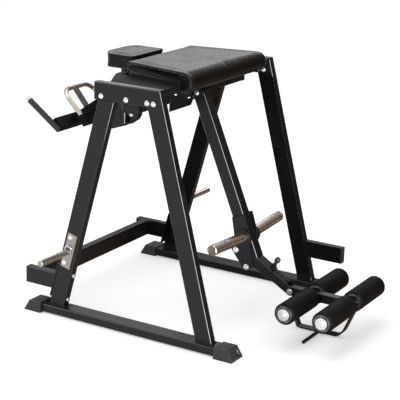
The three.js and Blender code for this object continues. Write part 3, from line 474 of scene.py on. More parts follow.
def pebble_group(name):
    """Pebbled leather: valleys from the distance to the nearest cell edge, where a noise bends the cells, and
    0.22 of a slow crease noise."""
    group, given, out = shader_group(name, [("Vector", "Vector"), ("Scale", "Float")], [("Height", "Float")])
    warp = node(group, "ShaderNodeTexNoise", [("Vector", given["Vector"])], Scale=240.0)
    small = node(group, "ShaderNodeVectorMath", [(0, warp.outputs["Color"])], {"operation": "SCALE"},
                 Scale=0.0014)
    moved = node(group, "ShaderNodeVectorMath", [(0, given["Vector"]), (1, small.outputs[0])],
                 {"operation": "ADD"})
    cell = node(group, "ShaderNodeTexVoronoi", [("Vector", moved.outputs[0]), ("Scale", given["Scale"])],
                {"feature": "DISTANCE_TO_EDGE"})
    valley = node(group, "ShaderNodeMapRange", [("Value", cell.outputs["Distance"])],
                  {"interpolation_type": "SMOOTHSTEP"}, From_Max=0.16)
    crease = node(group, "ShaderNodeTexNoise", [("Vector", given["Vector"])], Scale=90.0, Detail=6.0)
    deep = maths(group, "MULTIPLY", crease.outputs["Fac"], 0.22)
    group.links.new(maths(group, "ADD", valley.outputs[0], deep), out["Height"])
    return group


def new_material(name):
    """A material, its node tree and its shader."""
    material = bpy.data.materials.new(name)
    material.use_nodes = True
    return material, material.node_tree, material.node_tree.nodes["Principled BSDF"]


def colour_mix(tree, factor):
    """A Mix node for colours, driven by the factor."""
    return node(tree, "ShaderNodeMix", [("Factor", factor)], {"data_type": "RGBA"})


def finish(name, colour, roughness, metallic=0.0, grain=900.0, bump=0.00004, spread=0.08, tone=0.12,
           dust=0.0, pebbles=0.0, stretch=(1.0, 1.0, 1.0), ior=1.5, patch=9.0):
    """A material: base colour varied by patches and dust, roughness varied by patches, bump from grain or
    pebbles. The frame has materials of its own, so the name gets a prefix that they lack."""
    name = PREFIX + name
    if name in bpy.data.materials:
        return bpy.data.materials[name]
    material, tree, shader = new_material(name)
    preset(shader, Metallic=metallic, IOR=ior)
    place = node(tree, "ShaderNodeTexCoord").outputs["Object"]
    scaled = node(tree, "ShaderNodeMapping", [("Vector", place)], Scale=stretch)
    fine = node(tree, "ShaderNodeGroup", [("Vector", scaled.outputs[0])],
                {"node_tree": shared_group("fine_grain", grain_group)}, Scale=grain, Patch_Scale=patch)
    mix = colour_mix(tree, fine.outputs["Patches"])
    mix.inputs[MIX_A].default_value = [max(c * (1 - tone), 0) for c in colour] + [1]
    mix.inputs[MIX_B].default_value = [min(c * (1 + tone), 1) for c in colour] + [1]
    colour_out = mix.outputs[MIX_RESULT]
    if dust:
        normal = node(tree, "ShaderNodeNewGeometry").outputs["Normal"]
        layer = node(tree, "ShaderNodeGroup", [("Vector", place), ("Normal", normal)],
                     {"node_tree": shared_group("settled_dust", dust_group)}, Amount=dust)
        dusty = colour_mix(tree, layer.outputs["Mask"])
        dusty.inputs[MIX_B].default_value = DUST_COLOUR
        tree.links.new(colour_out, dusty.inputs[MIX_A])
        colour_out = dusty.outputs[MIX_RESULT]
    tree.links.new(colour_out, shader.inputs["Base Color"])
    rough = node(tree, "ShaderNodeMapRange", [("Value", fine.outputs["Patches"])],
                 From_Min=PATCH_LOW, From_Max=PATCH_HIGH,
                 To_Min=max(roughness - spread, SMOOTHEST), To_Max=min(roughness + spread, 1.0))
    tree.links.new(rough.outputs[0], shader.inputs["Roughness"])
    skin = fine
    if pebbles:
        skin = node(tree, "ShaderNodeGroup", [("Vector", place)],
                    {"node_tree": shared_group("pebbles", pebble_group)}, Scale=pebbles)
    relief = node(tree, "ShaderNodeBump", [("Height", skin.outputs["Height"])], Distance=bump)
    tree.links.new(relief.outputs[0], shader.inputs["Normal"])
    return material


def coat_finish():
    """Satin black powder coat with a fine orange peel and a trace of dust."""
    coat = bpy.context.scene.bench_coat
    return finish("powder_coat", coat.colour, coat.roughness, grain=1400.0, bump=0.00003, dust=0.012,
                  ior=1.36)


def dull_finish():
    """The same coat, duller, on the deck and the handle arm."""
    coat = bpy.context.scene.bench_coat
    return finish("dull_coat", coat.colour, 0.6, grain=1400.0, bump=0.00012, ior=1.15)


def edge_highlight_finish():
    """The rounded corners of the tubes, smoother than the flat faces and painted a little lighter: a painted
    highlight along the tube edges.
    """
    return finish("corner_highlight_coat", (0.007, 0.007, 0.0075), 0.13, grain=1400.0, bump=0.00001, spread=0.03)


def end_face_reflection_finish():
    """The sawn and plated end of a sleeve, painted dark brown: a painted reflection of the brown surround."""
    return finish("sleeve_end", (0.19, 0.145, 0.11), 0.4, metallic=1.0, bump=0.00002)


def leather_finish():
    """Pebbled synthetic leather."""
    cushion = bpy.context.scene.bench_cushion
    return finish("leather", cushion.colour, cushion.roughness, bump=0.00009, pebbles=430.0, dust=0.004,
                  ior=1.23)


def piping_highlight_finish():
    """The leather stretched smooth over piping and thread, painted eight times lighter than the cover: a
    painted highlight along the welts.
    """
    cushion = bpy.context.scene.bench_cushion
    return finish("piping_painted_highlight", [c * 8 for c in cushion.colour], 0.3, grain=1500.0, bump=0.00006,
                  ior=1.3)


def thread_finish():
    """Grey sewing thread."""
    return finish("thread", (0.28, 0.28, 0.28), 0.5, grain=2400.0, bump=0.00005)


def foam_finish():
    """Closed-cell foam with a dull skin."""
    return finish("foam_skin", (0.0035, 0.0035, 0.0035), 0.6, grain=1100.0, bump=0.00012, ior=1.18)


def rubber_finish():
    """Moulded rubber of the feet."""
    return finish("moulded_rubber", (0.011, 0.011, 0.0113), 0.58, grain=700.0, bump=0.00018, dust=0.05)


def plastic_finish():
    """Matt black moulded plastic."""
    return finish("black_plastic", (0.009, 0.009, 0.0093), 0.45, grain=1800.0, bump=0.00006)


def chrome_finish():
    """Warm plated tube with faint turning marks."""
    hardware = bpy.context.scene.bench_hardware
    return finish("chrome", hardware.chrome, 0.25, metallic=1.0, grain=160.0, bump=0.00001, spread=0.06,
                  stretch=(1.0, 12.0, 1.0), tone=0.06)


def loop_reflection_finish():
    """The loop handle's plating, darker and browner than the sleeves': a painted reflection of the brown
    surround.
    """
    return finish("loop_chrome", (0.5, 0.45, 0.4), 0.24, metallic=1.0, grain=160.0, bump=0.00001, tone=0.06)


def nickel_finish():
    """Brushed plate of the weight horns."""
    return finish("brushed_nickel", (0.3, 0.28, 0.245), 0.36, metallic=1.0, grain=260.0, bump=0.00004,
                  stretch=(6.0, 1.0, 0.6), tone=0.12)


def zinc_finish():
    """Bright zinc of bolts, nuts and discs."""
    hardware = bpy.context.scene.bench_hardware
    return finish("bright_zinc", hardware.zinc, 0.3, metallic=1.0, grain=900.0, bump=0.00003, tone=0.08)


def disc_finish():
    """Duller zinc of the axles and their end discs."""
    return finish("dull_zinc", (0.58, 0.58, 0.57), 0.5, metallic=1.0, grain=420.0, bump=0.00005, tone=0.16,
                  patch=60.0)


def grip_finish():
    """Smooth dark grip sleeve."""
    return finish("grip_sleeve", (0.009, 0.009, 0.0095), 0.34, grain=1300.0, bump=0.00008)


def board_finish():
    """Black-stained board under the cushion, with a faint grain along it."""
    return finish("stained_board", (0.03, 0.026, 0.022), 0.6, grain=120.0, bump=0.0002,
                  stretch=(0.4, 6.0, 6.0), tone=0.3)


# Pieces that follow the frame's own solids

FLAT_JOIN = math.radians(0.6)
BEVEL_STEPS = 2
FACE_WEIGHT = 80
NO_FACES = (2, 2)
END_FACES = (0.97, 1.1)
EDGE_HIGHLIGHT_FACES = (0.2, 0.97)


def softened(name, suffix, material, edge, limit=35.0, second=None, share=NO_FACES):
    """A copy of a solid: merged, its flat faces joined, its sharp edges rounded by a small bevel. The bevel
    takes the second material, and so do the faces whose normal has a sideways part within the share."""
    mesh = frame["nodes"][name].data.copy()
    mesh.name = name + suffix
    obj = new_object(name + suffix, mesh)
    bm = bmesh.new()
    bm.from_mesh(mesh)
    bmesh.ops.remove_doubles(bm, verts=bm.verts, dist=MERGE)
    bmesh.ops.dissolve_limit(bm, angle_limit=FLAT_JOIN, verts=bm.verts, edges=bm.edges)
    bm.to_mesh(mesh)
    bm.free()
    mesh.materials.clear()
    mesh.materials.append(material)
    index = np.zeros(len(mesh.polygons), np.int32)
    bevel = obj.modifiers.new("rounded_edge", "BEVEL")
    if second:
        mesh.materials.append(second)
        bevel.material = 1
        normals = np.empty(len(index) * 3)
        mesh.polygons.foreach_get("normal", normals)
        sideways = np.abs(normals.reshape(-1, 3)[:, 1])
        index[(sideways > share[0]) & (sideways < share[1])] = 1
    mesh.polygons.foreach_set("material_index", index)
    smooth(mesh)
    bevel.width = edge
    bevel.segments = BEVEL_STEPS
    bevel.limit_method = "ANGLE"
    bevel.angle_limit = math.radians(limit)
    bevel.use_clamp_overlap = True
    obj.modifiers.new("even_normals", "WEIGHTED_NORMAL").weight = FACE_WEIGHT
    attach(obj, BODY_OF[name])
    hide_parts(name)
    return obj


PAINTED_PAIRS = ["front_leg", "rear_leg", "top_beam", "base_rail", "rear_stub", "side_plate"]
PAINTED = [
    "rear_crossbar", "front_stub", "main_cross_beam", "front_cross_tube", "rear_cross_beam", "pivot_bracket",
    "head_pad_plate", "head_pad_post", "carriage", "head_spine", "pendulum_tube", "arm_sleeve", "pin_housing",
    "leg_arm", "roller_bar", "foot_bar", "foot_rod",
]
DULL = ["handle_arm", "handle_bar", "loop_bar"]
DECK_EDGE = -15
DECK_REACH = 150
ROD_SWELL = 0.002
BEAM_PLATE_Y = 466.8
BEAM_PLATE_CORNER = 0.0562
BEAM_PLATE_THICK = 0.003


def deck_sheet():
    """The deck, with its front edge moved on to the front legs, where the cushion hides all but its sides."""
    mesh = softened("top_deck", "_coated", dull_finish(), 0.0008).data
    points, _ = point_normals(mesh)
    points[points[:, 0] > at(DECK_EDGE, 0, 0)[0], 0] = at(DECK_REACH, 0, 0)[0]
    moved_to(mesh, points)


def thicker_rod():
    """The foot rod, swelled along its normals."""
    mesh = bpy.data.objects["foot_rod_coated"].data
    points, normals = point_normals(mesh)
    moved_to(mesh, points + normals * ROD_SWELL)


def beam_ends():
    """Square plates on the two open ends of the main cross beam."""
    corner, thick = BEAM_PLATE_CORNER, BEAM_PLATE_THICK
    plate = lathe([(0, 0), (corner, 0), (corner, thick), (0, thick)], around=4)
    x, z = CROSS_BEAM
    places = np.array([at(x, s * BEAM_PLATE_Y, z) for s in SIDES.values()])
    axes = np.array([-ACROSS * s for s in SIDES.values()])
    piece("beam_ends", [(placed(plate, places, axes, np.full(2, math.pi / 4)), False)], coat_finish(),
          "frame")


class BENCH_OT_painted_steel(bpy.types.Operator):
    """Coats the frame, the pendulum and the roller frame in satin black."""
    bl_idname = "bench.painted_steel"
    bl_label = "Painted Steel"

    def execute(self, context):
        coat = context.scene.bench_coat
        # The tube corners and bevels take a finish painted a little lighter, as a highlight along the edges.
        for name in [f"{name}_{side}" for name in PAINTED_PAIRS for side in SIDES] + PAINTED:
            softened(name, "_coated", coat_finish(), coat.edge, second=edge_highlight_finish(),
                     share=EDGE_HIGHLIGHT_FACES)
        for name in DULL:
            softened(name, "_coated", dull_finish(), coat.edge)
        deck_sheet()
        thicker_rod()
        beam_ends()
        return {"FINISHED"}


class BENCH_OT_rubber_and_caps(bpy.types.Operator):
    """Softens the wedge feet, the end caps and the board under the cushion."""
    bl_idname = "bench.rubber_and_caps"
    bl_label = "Feet and Caps"

    def execute(self, context):
        for end in ("front", "rear"):
            for side in SIDES:
                softened(f"boot_{end}_{side}", "_rubber", rubber_finish(), 0.0032,
                         second=edge_highlight_finish())
        for name in ("rear_stub_cap_near", "rear_stub_cap_far", "front_stub_cap"):
            softened(name, "_moulded", plastic_finish(), 0.0012)
        softened("pad_board", "_stained", board_finish(), 0.0008)
        return {"FINISHED"}


PIVOT = (50, 40.3, 1018)
PIVOT_BOLT = [(0, -88.6), (3.6, -88), (6.4, -86), (8, -83), (8.2, -80.9), (12.4, -80.9), (12.4, 0.3),
              (8.2, 0.3), (8, 2.4), (6.4, 5.4), (3.6, 7.4), (0, 8)]


class BENCH_OT_plated_tubes(bpy.types.Operator):
    """Plates the weight sleeves, the horns, the loop handle, the two pivots and the axles."""
    bl_idname = "bench.plated_tubes"
    bl_label = "Plated Tubes"

    def execute(self, context):
        for side in SIDES:
            # The sleeves' end faces take a dark brown that paints the reflection of the brown surround.
            softened(f"weight_sleeve_{side}", "_plated", chrome_finish(), 0.0006,
                     second=end_face_reflection_finish(), share=END_FACES)
            softened(f"weight_horn_{side}", "_plated", chrome_finish(), 0.0007,
                     second=nickel_finish(), share=END_FACES)
        # The loop's plating is painted darker and browner, a painted reflection of the brown surround.
        softened("handle_loop", "_plated", loop_reflection_finish(), 0.0005, limit=50)
        made = turned("pivot_bolt", PIVOT_BOLT, 24, at(*PIVOT), ACROSS, zinc_finish(),
                      BODY_OF["pivot_pin"])
        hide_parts("pivot_pin")
        softened("lower_pivot_pin", "_plated", zinc_finish(), 0.0006)
        for name in ("axle_left", "axle_right"):
            softened(name, "_plated", disc_finish(), 0.0006)
        return {"FINISHED"}


# Cushions

def cover_mesh(name, first, second, voxel):
    """A block between two like rings of points, remeshed in even cells."""
    count = len(first)
    k = np.arange(count)
    walls = np.stack([k, (k + 1) % count, (k + 1) % count + count, k + count], -1).tolist()
    mesh = bpy.data.meshes.new(name)
    mesh.from_pydata(np.concatenate([first, second]), [], walls + [k[::-1].tolist(), (k + count).tolist()])
    obj = new_object(name, mesh)
    remesh = obj.modifiers.new("cells", "REMESH")
    remesh.mode = "VOXEL"
    remesh.voxel_size = voxel
    applied(obj)
    return obj


def applied(obj):
    """Replaces the object's mesh by its finished one, and removes the modifiers."""
    made = bpy.data.meshes.new_from_object(obj.evaluated_get(bpy.context.evaluated_depsgraph_get()))
    obj.modifiers.clear()
    obj.data = made


CLOTH_FRAMES = 20
SEAM_SOFT = 0.03
SEAM_STAND = 0.002
SEAM_EDGE = 0.008
BOARD_FADE = 1.4
BOARD_START = 0.2


def stuffed(obj, rest, pressure):
    """How far each point moves in 20 frames of cloth under pressure, with no gravity."""
    scene = bpy.context.scene
    cloth = obj.modifiers.new("stuffing", "CLOTH")
    cloth.settings.use_pressure = True
    cloth.settings.uniform_pressure_force = pressure
    cloth.settings.effector_weights.gravity = 0
    for number in range(1, CLOTH_FRAMES + 1):
        scene.frame_set(number)
    after, _ = point_normals(obj.evaluated_get(bpy.context.evaluated_depsgraph_get()).to_mesh())
    obj.modifiers.clear()
    scene.frame_set(1)
    return after - rest


def swelled(obj, seams, cushion):
    """The cover after its cloth run. A point takes its capped move by the share
    1 - exp(-(distance / 30 mm)^2) of its distance from the seams, and none where the cover faces down on its
    board. Beside a seam the cover stands out by 2 mm exp(-(distance / 8 mm)^2), so that the edge is crisp."""
    rest, normals = point_normals(obj.data)
    moved = stuffed(obj, rest, cushion.pressure)
    length = np.linalg.norm(moved, axis=1)
    moved *= np.minimum(1, cushion.swell / np.maximum(length, 1e-9))[:, None]
    _, away = nearest(rest, seams)
    board = np.clip(-normals[:, 2] * BOARD_FADE - BOARD_START, 0, 1)
    share = (1 - np.exp(-(away / SEAM_SOFT) ** 2)) * (1 - board)
    stand = SEAM_STAND * np.exp(-(away / SEAM_EDGE) ** 2)
    moved_to(obj.data, rest + moved * share[:, None] + normals * stand[:, None])


def puckered(obj, seam, depth=0.0015, wave=0.013, reach=0.022, fade=0.004, drift=1.3, drift_rate=31):
    """Small folds beside a seam, on the upright faces: along the normal, depth cos(2 pi s / wave + drift
    sin(drift rate s)) exp(-distance / reach), where s is the length along the seam; the fold fades on the
    seam itself."""
    points, normals = point_normals(obj.data)
    k, away = nearest(points, seam)
    run = np.concatenate([[0], np.cumsum(np.linalg.norm(np.diff(seam, axis=0), axis=1))])[k]
    phase = 2 * math.pi * run / wave + drift * np.sin(run * drift_rate)
    fold = depth * np.cos(phase) * np.exp(-away / reach) * np.clip(away / fade, 0, 1)
    fold *= np.clip(2 - 4 * np.abs(normals[:, 2]), 0, 1)
    moved_to(obj.data, points + normals * fold[:, None])


def finer(obj):
    """One level of subdivision, applied."""
    level = obj.modifiers.new("finer", "SUBSURF")
    level.levels = level.render_levels = 1
    applied(obj)


PAD_ROLL = (157, 1126, 42)
PAD_TOP = 1168
PAD_REAR, PAD_FRONT = -182, 199
PAD_HALF, PAD_GROWTH = 259, 78
PAD_LOW, PAD_LOW_END = 1104, 112
REAR_LIFT, LIFT_START, LIFT_RUN = 14, 60, 80
ROLL_TURN = -math.pi * 0.55
SEAM_REAR = PAD_REAR + 1
SEAM_STEP = 0.004
FRONT_SEAM = (168.0, 1085.0)
FRONT_SEAM_HALF = 322
ROLL_WELT = 34
WELT_OUT = 1
STITCH_INSET = 6.5
STITCH_PITCH = 1.5
STITCH_HALF = 0.0009
STITCH_LIFT = 0.0001
THREAD = [(0, -0.5), (0.6, -0.42), (1, -0.25), (1, 0.25), (0.6, 0.42), (0, 0.5)]
HEAD_SEAMS = (1163, 1103)
HEAD_OUTER, HEAD_INNER, HEAD_HALF, HEAD_BULGE = -373, -241.0, 129, 40
HEAD_FOLD = 0.0009
HEAD_CELL_SHARE = 0.8


def pad_half(x):
    """Half width of the main cushion: grows evenly from the rear edge to the rolled front."""
    return PAD_HALF + PAD_GROWTH * (np.clip(x, PAD_REAR, PAD_FRONT) - PAD_REAR) / (PAD_FRONT - PAD_REAR)


def side_seam(side, inset=0.0):
    """Outline of the cushion's side panel: along the top, round the roll, back along the bottom."""
    cx, cz, r = PAD_ROLL
    r = r - inset
    top = np.linspace(SEAM_REAR + inset, cx, 60)
    turn = np.linspace(math.pi / 2, ROLL_TURN, 40)[1:]
    back = np.linspace(PAD_LOW_END, SEAM_REAR + inset, 50)
    low = PAD_LOW + REAR_LIFT * np.clip((LIFT_START - back) / LIFT_RUN, 0, 1) + inset
    x = np.concatenate([top, cx + r * np.cos(turn), back])
    z = np.concatenate([np.full(len(top), PAD_TOP - inset), cz + r * np.sin(turn), low])
    return resampled(np.stack([x, side * pad_half(x), z], -1) * MM + SHIFT, SEAM_STEP, True)


def front_seam():
    """The lower seam of the rolled front, straight across the cushion."""
    y = np.linspace(-FRONT_SEAM_HALF, FRONT_SEAM_HALF, 160)
    x, z = FRONT_SEAM
    return np.stack([np.full(len(y), x), y, np.full(len(y), z)], -1) * MM + SHIFT


def head_outline(height):
    """Outline of the head cushion: straight front and sides, and an outer end that bulges by 40 mm times
    1 - (share of the half width)^4."""
    share = np.linspace(-1, 1, 60)
    outer = np.stack([HEAD_OUTER - HEAD_BULGE * (1 - share ** 4), HEAD_HALF * share], -1)
    front = np.stack([np.full(30, HEAD_INNER), np.linspace(HEAD_HALF, -HEAD_HALF, 30)], -1)
    ring = np.concatenate([outer, front])
    return resampled(np.column_stack([ring, np.full(len(ring), height)]) * MM + SHIFT, SEAM_STEP, True)


def roll_end(side):
    """The welt's circle on one end of the rolled front."""
    t = np.linspace(0, 2 * math.pi, 60, endpoint=False)
    x = PAD_ROLL[0] + ROLL_WELT * np.cos(t)
    z = PAD_ROLL[1] + ROLL_WELT * np.sin(t)
    return np.stack([x, side * (pad_half(x) + WELT_OUT), z], -1) * MM + SHIFT


def stitched(name, paths, points, normals, length, body):
    """Rows of thread: short flat capsules laid on the cover, each along the row, with a gap between them."""
    shape = lathe(THREAD, around=6)
    blocks = []
    for path in paths:
        row = resampled(path, length * STITCH_PITCH, True)
        row, lift = laid_on(row, points, normals, STITCH_LIFT, True, passes=1)
        way = unit(np.roll(row, -1, axis=0) - np.roll(row, 1, axis=0))
        side = unit(np.cross(lift, way))
        frames = np.stack([side * STITCH_HALF, np.cross(way, side) * STITCH_HALF, way * length], axis=2)
        blocks.append((framed(shape, row, frames), False))
    return piece(name, blocks, thread_finish(), body)


def piped(cover, rows, name, body):
    """Piping on a cover, from rows of (path, radius, points around, lift, closed, hint)."""
    points, normals = point_normals(cover.data)
    blocks = []
    for path, radius, around, lift, wrap, hint in rows:
        path, _ = laid_on(path, points, normals, lift, wrap)
        blocks.append(swept(path, radius, around, wrap, hint))
    # The piping's finish is painted lighter than the cover, as a highlight along the welts.
    piece(name, blocks, piping_highlight_finish(), body)
    return points, normals


class BENCH_OT_main_cushion(bpy.types.Operator):
    """Stuffs the main cushion, with its rolled front, piping and stitches."""
    bl_idname = "bench.main_cushion"
    bl_label = "Main Cushion"

    def execute(self, context):
        cushion = context.scene.bench_cushion
        seams = [side_seam(side) for side in SIDES.values()]
        cover = cover_mesh("main_cover", *seams, cushion.voxel)
        swelled(cover, np.concatenate(seams + [front_seam()]), cushion)
        finer(cover)
        for seam in seams:
            puckered(cover, seam)
        cover.name = "main_cushion"
        dressed(cover, "main_pad")
        r = cushion.piping
        rows = [(seam, r, 10, r * 0.35, True, ACROSS) for seam in seams]
        rows += [(roll_end(side), r * 0.8, 8, r * 0.1, True, ACROSS) for side in SIDES.values()]
        rows.append((front_seam(), r * 0.8, 8, r * 0.3, False, UP))
        points, normals = piped(cover, rows, "main_piping", BODY_OF["main_pad"])
        paths = [side_seam(side, STITCH_INSET) for side in SIDES.values()]
        stitched("main_stitches", paths, points, normals, cushion.stitch, BODY_OF["main_pad"])
        return {"FINISHED"}


class BENCH_OT_head_cushion(bpy.types.Operator):
    """Stuffs the head cushion, with piping round its top and bottom edges."""
    bl_idname = "bench.head_cushion"
    bl_label = "Head Cushion"

    def execute(self, context):
        cushion = context.scene.bench_cushion
        seams = [head_outline(z) for z in HEAD_SEAMS]
        cover = cover_mesh("head_cover", *seams, cushion.voxel * HEAD_CELL_SHARE)
        swelled(cover, np.concatenate(seams), cushion)
        finer(cover)
        cover.name = "head_cushion"
        puckered(cover, seams[0], depth=HEAD_FOLD)
        dressed(cover, "head_pad")
        r = cushion.piping
        rows = [(seam, r, 10, r * 0.35, True, UP) for seam in seams]
        piped(cover, rows, "head_piping", BODY_OF["head_pad"])
        return {"FINISHED"}


def dressed(cover, node_name):
    """Gives a stuffed cover its leather and its body, shades it smooth and hides the solid that it stands
    for.
    """
    cover.data.materials.clear()
    cover.data.materials.append(leather_finish())
    smooth(cover.data)
    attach(cover, BODY_OF[node_name])
    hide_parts(node_name)


# Rollers, grips and the spring pin

ROLLER_SPOTS = [(f"roller_{place}_{side}", x, s) for place, x in (("left", 666), ("right", 847))
                for side, s in SIDES.items()]
ROLLER_Z = 163
FOAM_START, FOAM_LENGTH = 28, 257
FOAM_RADIUS, FOAM_EDGE, FOAM_BORE = 48.5, 6, 11
RECESS_RADIUS, RECESS_DEPTH = 40.2, 2
INNER_FACE = 28.5
RING = [(28.5, -1.5), (39.9, -1.5), (39.9, 2.6), (39.2, 3.4), (34.5, 3.9), (29.5, 3.9), (28.5, 3.2),
        (28.5, -1.5)]
HUB = [(9.5, -1), (16, -1), (16, 4.2), (15.2, 5), (10.2, 5), (9.5, 4.4), (9.5, -1)]
RIB = [(0, -0.5), (1, -0.5), (1, 0.5), (0, 0.5)]
RIB_RISE, RIB_THICK, RIB_LENGTH = 0.0038, 0.0007, 0.0066


def foam_profile():
    """Half section of a roller: bore, end, round edge, side, round edge and the recess for the ring."""
    t = np.linspace(0, math.pi / 2, 6)
    edge = np.stack([FOAM_RADIUS - FOAM_EDGE + FOAM_EDGE * np.sin(t), FOAM_EDGE - FOAM_EDGE * np.cos(t)], -1)
    far_edge = np.stack([edge[::-1, 0], FOAM_LENGTH - edge[::-1, 1]], -1)
    floor = FOAM_LENGTH - RECESS_DEPTH
    recess = [[RECESS_RADIUS, FOAM_LENGTH], [RECESS_RADIUS, floor], [FOAM_BORE, floor], [FOAM_BORE, 0]]
    return np.concatenate([[[FOAM_BORE, 0]], edge, far_edge, recess])


def ring_ribs(middle, way, ribs):
    """Ribs that stand round a ring, each a flat bar with a diamond section. The one at angle t is
    1.2 + 0.7 sin 5t mm to each side and lies 34.5 + 1.2 sin 7t mm from the middle."""
    t = np.arange(ribs) * 2 * math.pi / ribs
    out = np.stack([np.cos(t), np.zeros(ribs), np.sin(t)], -1)
    spots = middle + way * RIB_RISE + out * (0.0345 + 0.0012 * np.sin(t * 7))[:, None]
    wide = np.cross(way, out) * (0.0012 + 0.0007 * np.sin(t * 5)[:, None])
    frames = np.stack([wide, np.broadcast_to(way * RIB_THICK, out.shape), out * RIB_LENGTH], axis=2)
    return framed(lathe(RIB, around=4), spots, frames), False


class BENCH_OT_foam_rollers(bpy.types.Operator):
    """Makes the four foam rollers, with a moulded ring and ribs on both ends and a hub on the inner one."""
    bl_idname = "bench.foam_rollers"
    bl_label = "Foam Rollers"

    def execute(self, context):
        ribs = context.scene.bench_hardware.ribs
        for name, x, s in ROLLER_SPOTS:
            axis = ACROSS * s
            body = BODY_OF[name]
            start, face, inner = (at(x, s * y, ROLLER_Z)
                                  for y in (FOAM_START, FOAM_START + FOAM_LENGTH, INNER_FACE))
            cover = turned(name + "_foam", foam_profile(), 56, start, axis, foam_finish(), body, 50)
            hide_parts(name)
            turned(name + "_ring", RING, 48, face, axis, plastic_finish(), body)
            turned(name + "_inner_ring", RING, 48, inner, -axis, plastic_finish(), body)
            turned(name + "_hub", HUB, 32, inner, -axis, zinc_finish(), body)
            blocks = [ring_ribs(face, axis, ribs), ring_ribs(inner, -axis, ribs)]
            piece(name + "_ribs", blocks, finish("pale_plastic", (0.3, 0.3, 0.29), 0.5), body)
        return {"FINISHED"}


GRIP_TIP = (-802, 185, 905)
GRIP_ROOT = (-668, 152, 783)
GRIP_BAND = [(0, 0.2), (9, 0.2), (11.6, -0.6), (12.9, -1.8), (12.9, -14.5), (12.4, -15.2), (11, -15.2),
             (0, -15.2)]


class BENCH_OT_grips(bpy.types.Operator):
    """Sleeves the two hand grips and puts a plated band on each end."""
    bl_idname = "bench.grips"
    bl_label = "Grips"

    def execute(self, context):
        for side, s in SIDES.items():
            name = f"grip_{side}"
            softened(name, "_sleeve", grip_finish(), 0.0008)
            tip, root = (at(x, s * y, z) for x, y, z in (GRIP_TIP, GRIP_ROOT))
            turned(f"grip_band_{side}", GRIP_BAND, 32, tip, unit(tip - root), zinc_finish(),
                   BODY_OF[name])
        return {"FINISHED"}


PIN_BASE = (385.4, 0, 265.1)
PIN_RUN = 66.6
PIN_KNOB = [(0, 45), (6.9, 45.2), (6.9, 57), (7.4, 58.5), (11.4, 60.2), (12.8, 62.4), (13, 65.5), (13, 73),
            (12.2, 77.5), (9.6, 81.6), (5, 83.7), (0, 84)]
PIN_SHAFT = [(0, 13), (2.6, 13), (4, 14.5), (4, 45.1), (0, 45.1)]


class BENCH_OT_spring_pin(bpy.types.Operator):
    """Turns the spring pin: a plated shaft in a moulded knob."""
    bl_idname = "bench.spring_pin"
    bl_label = "Spring Pin"

    def execute(self, context):
        foot = at(*PIN_BASE) + ARM_WAY * PIN_RUN * MM
        body = BODY_OF["spring_pin"]
        knob = turned("spring_pin_knob", PIN_KNOB, 36, foot, ARM_UP, plastic_finish(), body, 50)
        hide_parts("spring_pin")
        turned("spring_pin_shaft", PIN_SHAFT, 24, foot, ARM_UP, zinc_finish(), body)
        return {"FINISHED"}


# Fasteners and welds

OUTER_BOLTS = (-151, -22, 85, 117)
INNER_BOLTS = (85, 117)
FLANGE_RUNS = (55, 182)
FLANGE_OUT = 8.3
HORN_BOLTS = ((-309, 387), (-346, 261))
HORN_BOLT_Y = 512.3
CARRIAGE_BOLT = (-315, 26.2, 865)
TURN_STEP = 0.83
SCREW_X = 18.3
SCREWS = ((-170, 1030), (-55, 997), (55, 997), (170, 1030))
SCREW_SHAPE = (0.0058, 0.0068, 0.004)
PLATE_BOLT_Y = 38.2
PLATE_BOLTS = ((280, 314), (338, 242))
PLATE_BOLT_SHAPE = (0.0125, 0.0142, 0.008)
PLATE_BOLT_TURNS = (0.2, 0.9, 0.4, 0.1)
HORN_NUT = (-317, 512.4, 330)
NUT_PROFILE = [(0.0146, 0, 0), (0.021, 0, 1), (0.021, 0.0105, 1), (0.0185, 0.012, 1), (0.0146, 0.012, 0),
               (0.0146, 0, 0)]
NUT_FLATS = 0.0182


def bolt_shape(head, washer, height=0.0062):
    """Washer, hexagon head with turned-down corners, and the bolt's end, as one turned profile."""
    flats = head * math.cos(math.pi / 6)
    profile = [
        (0, -0.001, 0), (washer, -0.001, 0), (washer, 0.0014, 0), (washer * 0.93, 0.0019, 0),
        (head, 0.0019, 1), (head, height, 1), (flats * 1.02, height + 0.0011, 1),
        (flats * 0.72, height + 0.0013, 0), (flats * 0.5, height + 0.0013, 0),
        (flats * 0.46, height + 0.003, 0), (0, height + 0.0034, 0),
    ]
    return lathe(profile, 36, flats)


def frame_bolts():
    """Places and axes of the frame's bolts: both faces of the top beams, rear flanges, horns and carriage."""
    spots = []
    for s in SIDES.values():
        spots += [(at(x, s * OUTER_Y, BEAM_MID), ACROSS * s) for x in OUTER_BOLTS]
        spots += [(at(x, s * INNER_Y, BEAM_MID), -ACROSS * s) for x in INNER_BOLTS]
        for run in FLANGE_RUNS:
            edge = at(-LEG_FOOT_X, s * MID_Y, RAIL_TOP) + REAR_UP * run * MM
            spots.append((edge + REAR_OUT * FLANGE_OUT * MM, REAR_OUT))
            spots.append((edge - REAR_OUT * TUBE_WIDE * MM, -REAR_OUT))
        spots += [(at(x, s * HORN_BOLT_Y, z), ACROSS * s) for x, z in HORN_BOLTS]
        x, y, z = CARRIAGE_BOLT
        spots.append((at(x, s * y, z), ACROSS * s))
    return spots


def zinc_bolts(name, shape, spots, turns, body):
    """Zinc pieces of one shape on spots of (place, axis), each turned about its axis."""
    places, axes = (np.array(part) for part in zip(*spots))
    piece(name, [(placed(shape, places, axes, turns), False)], zinc_finish(), body)


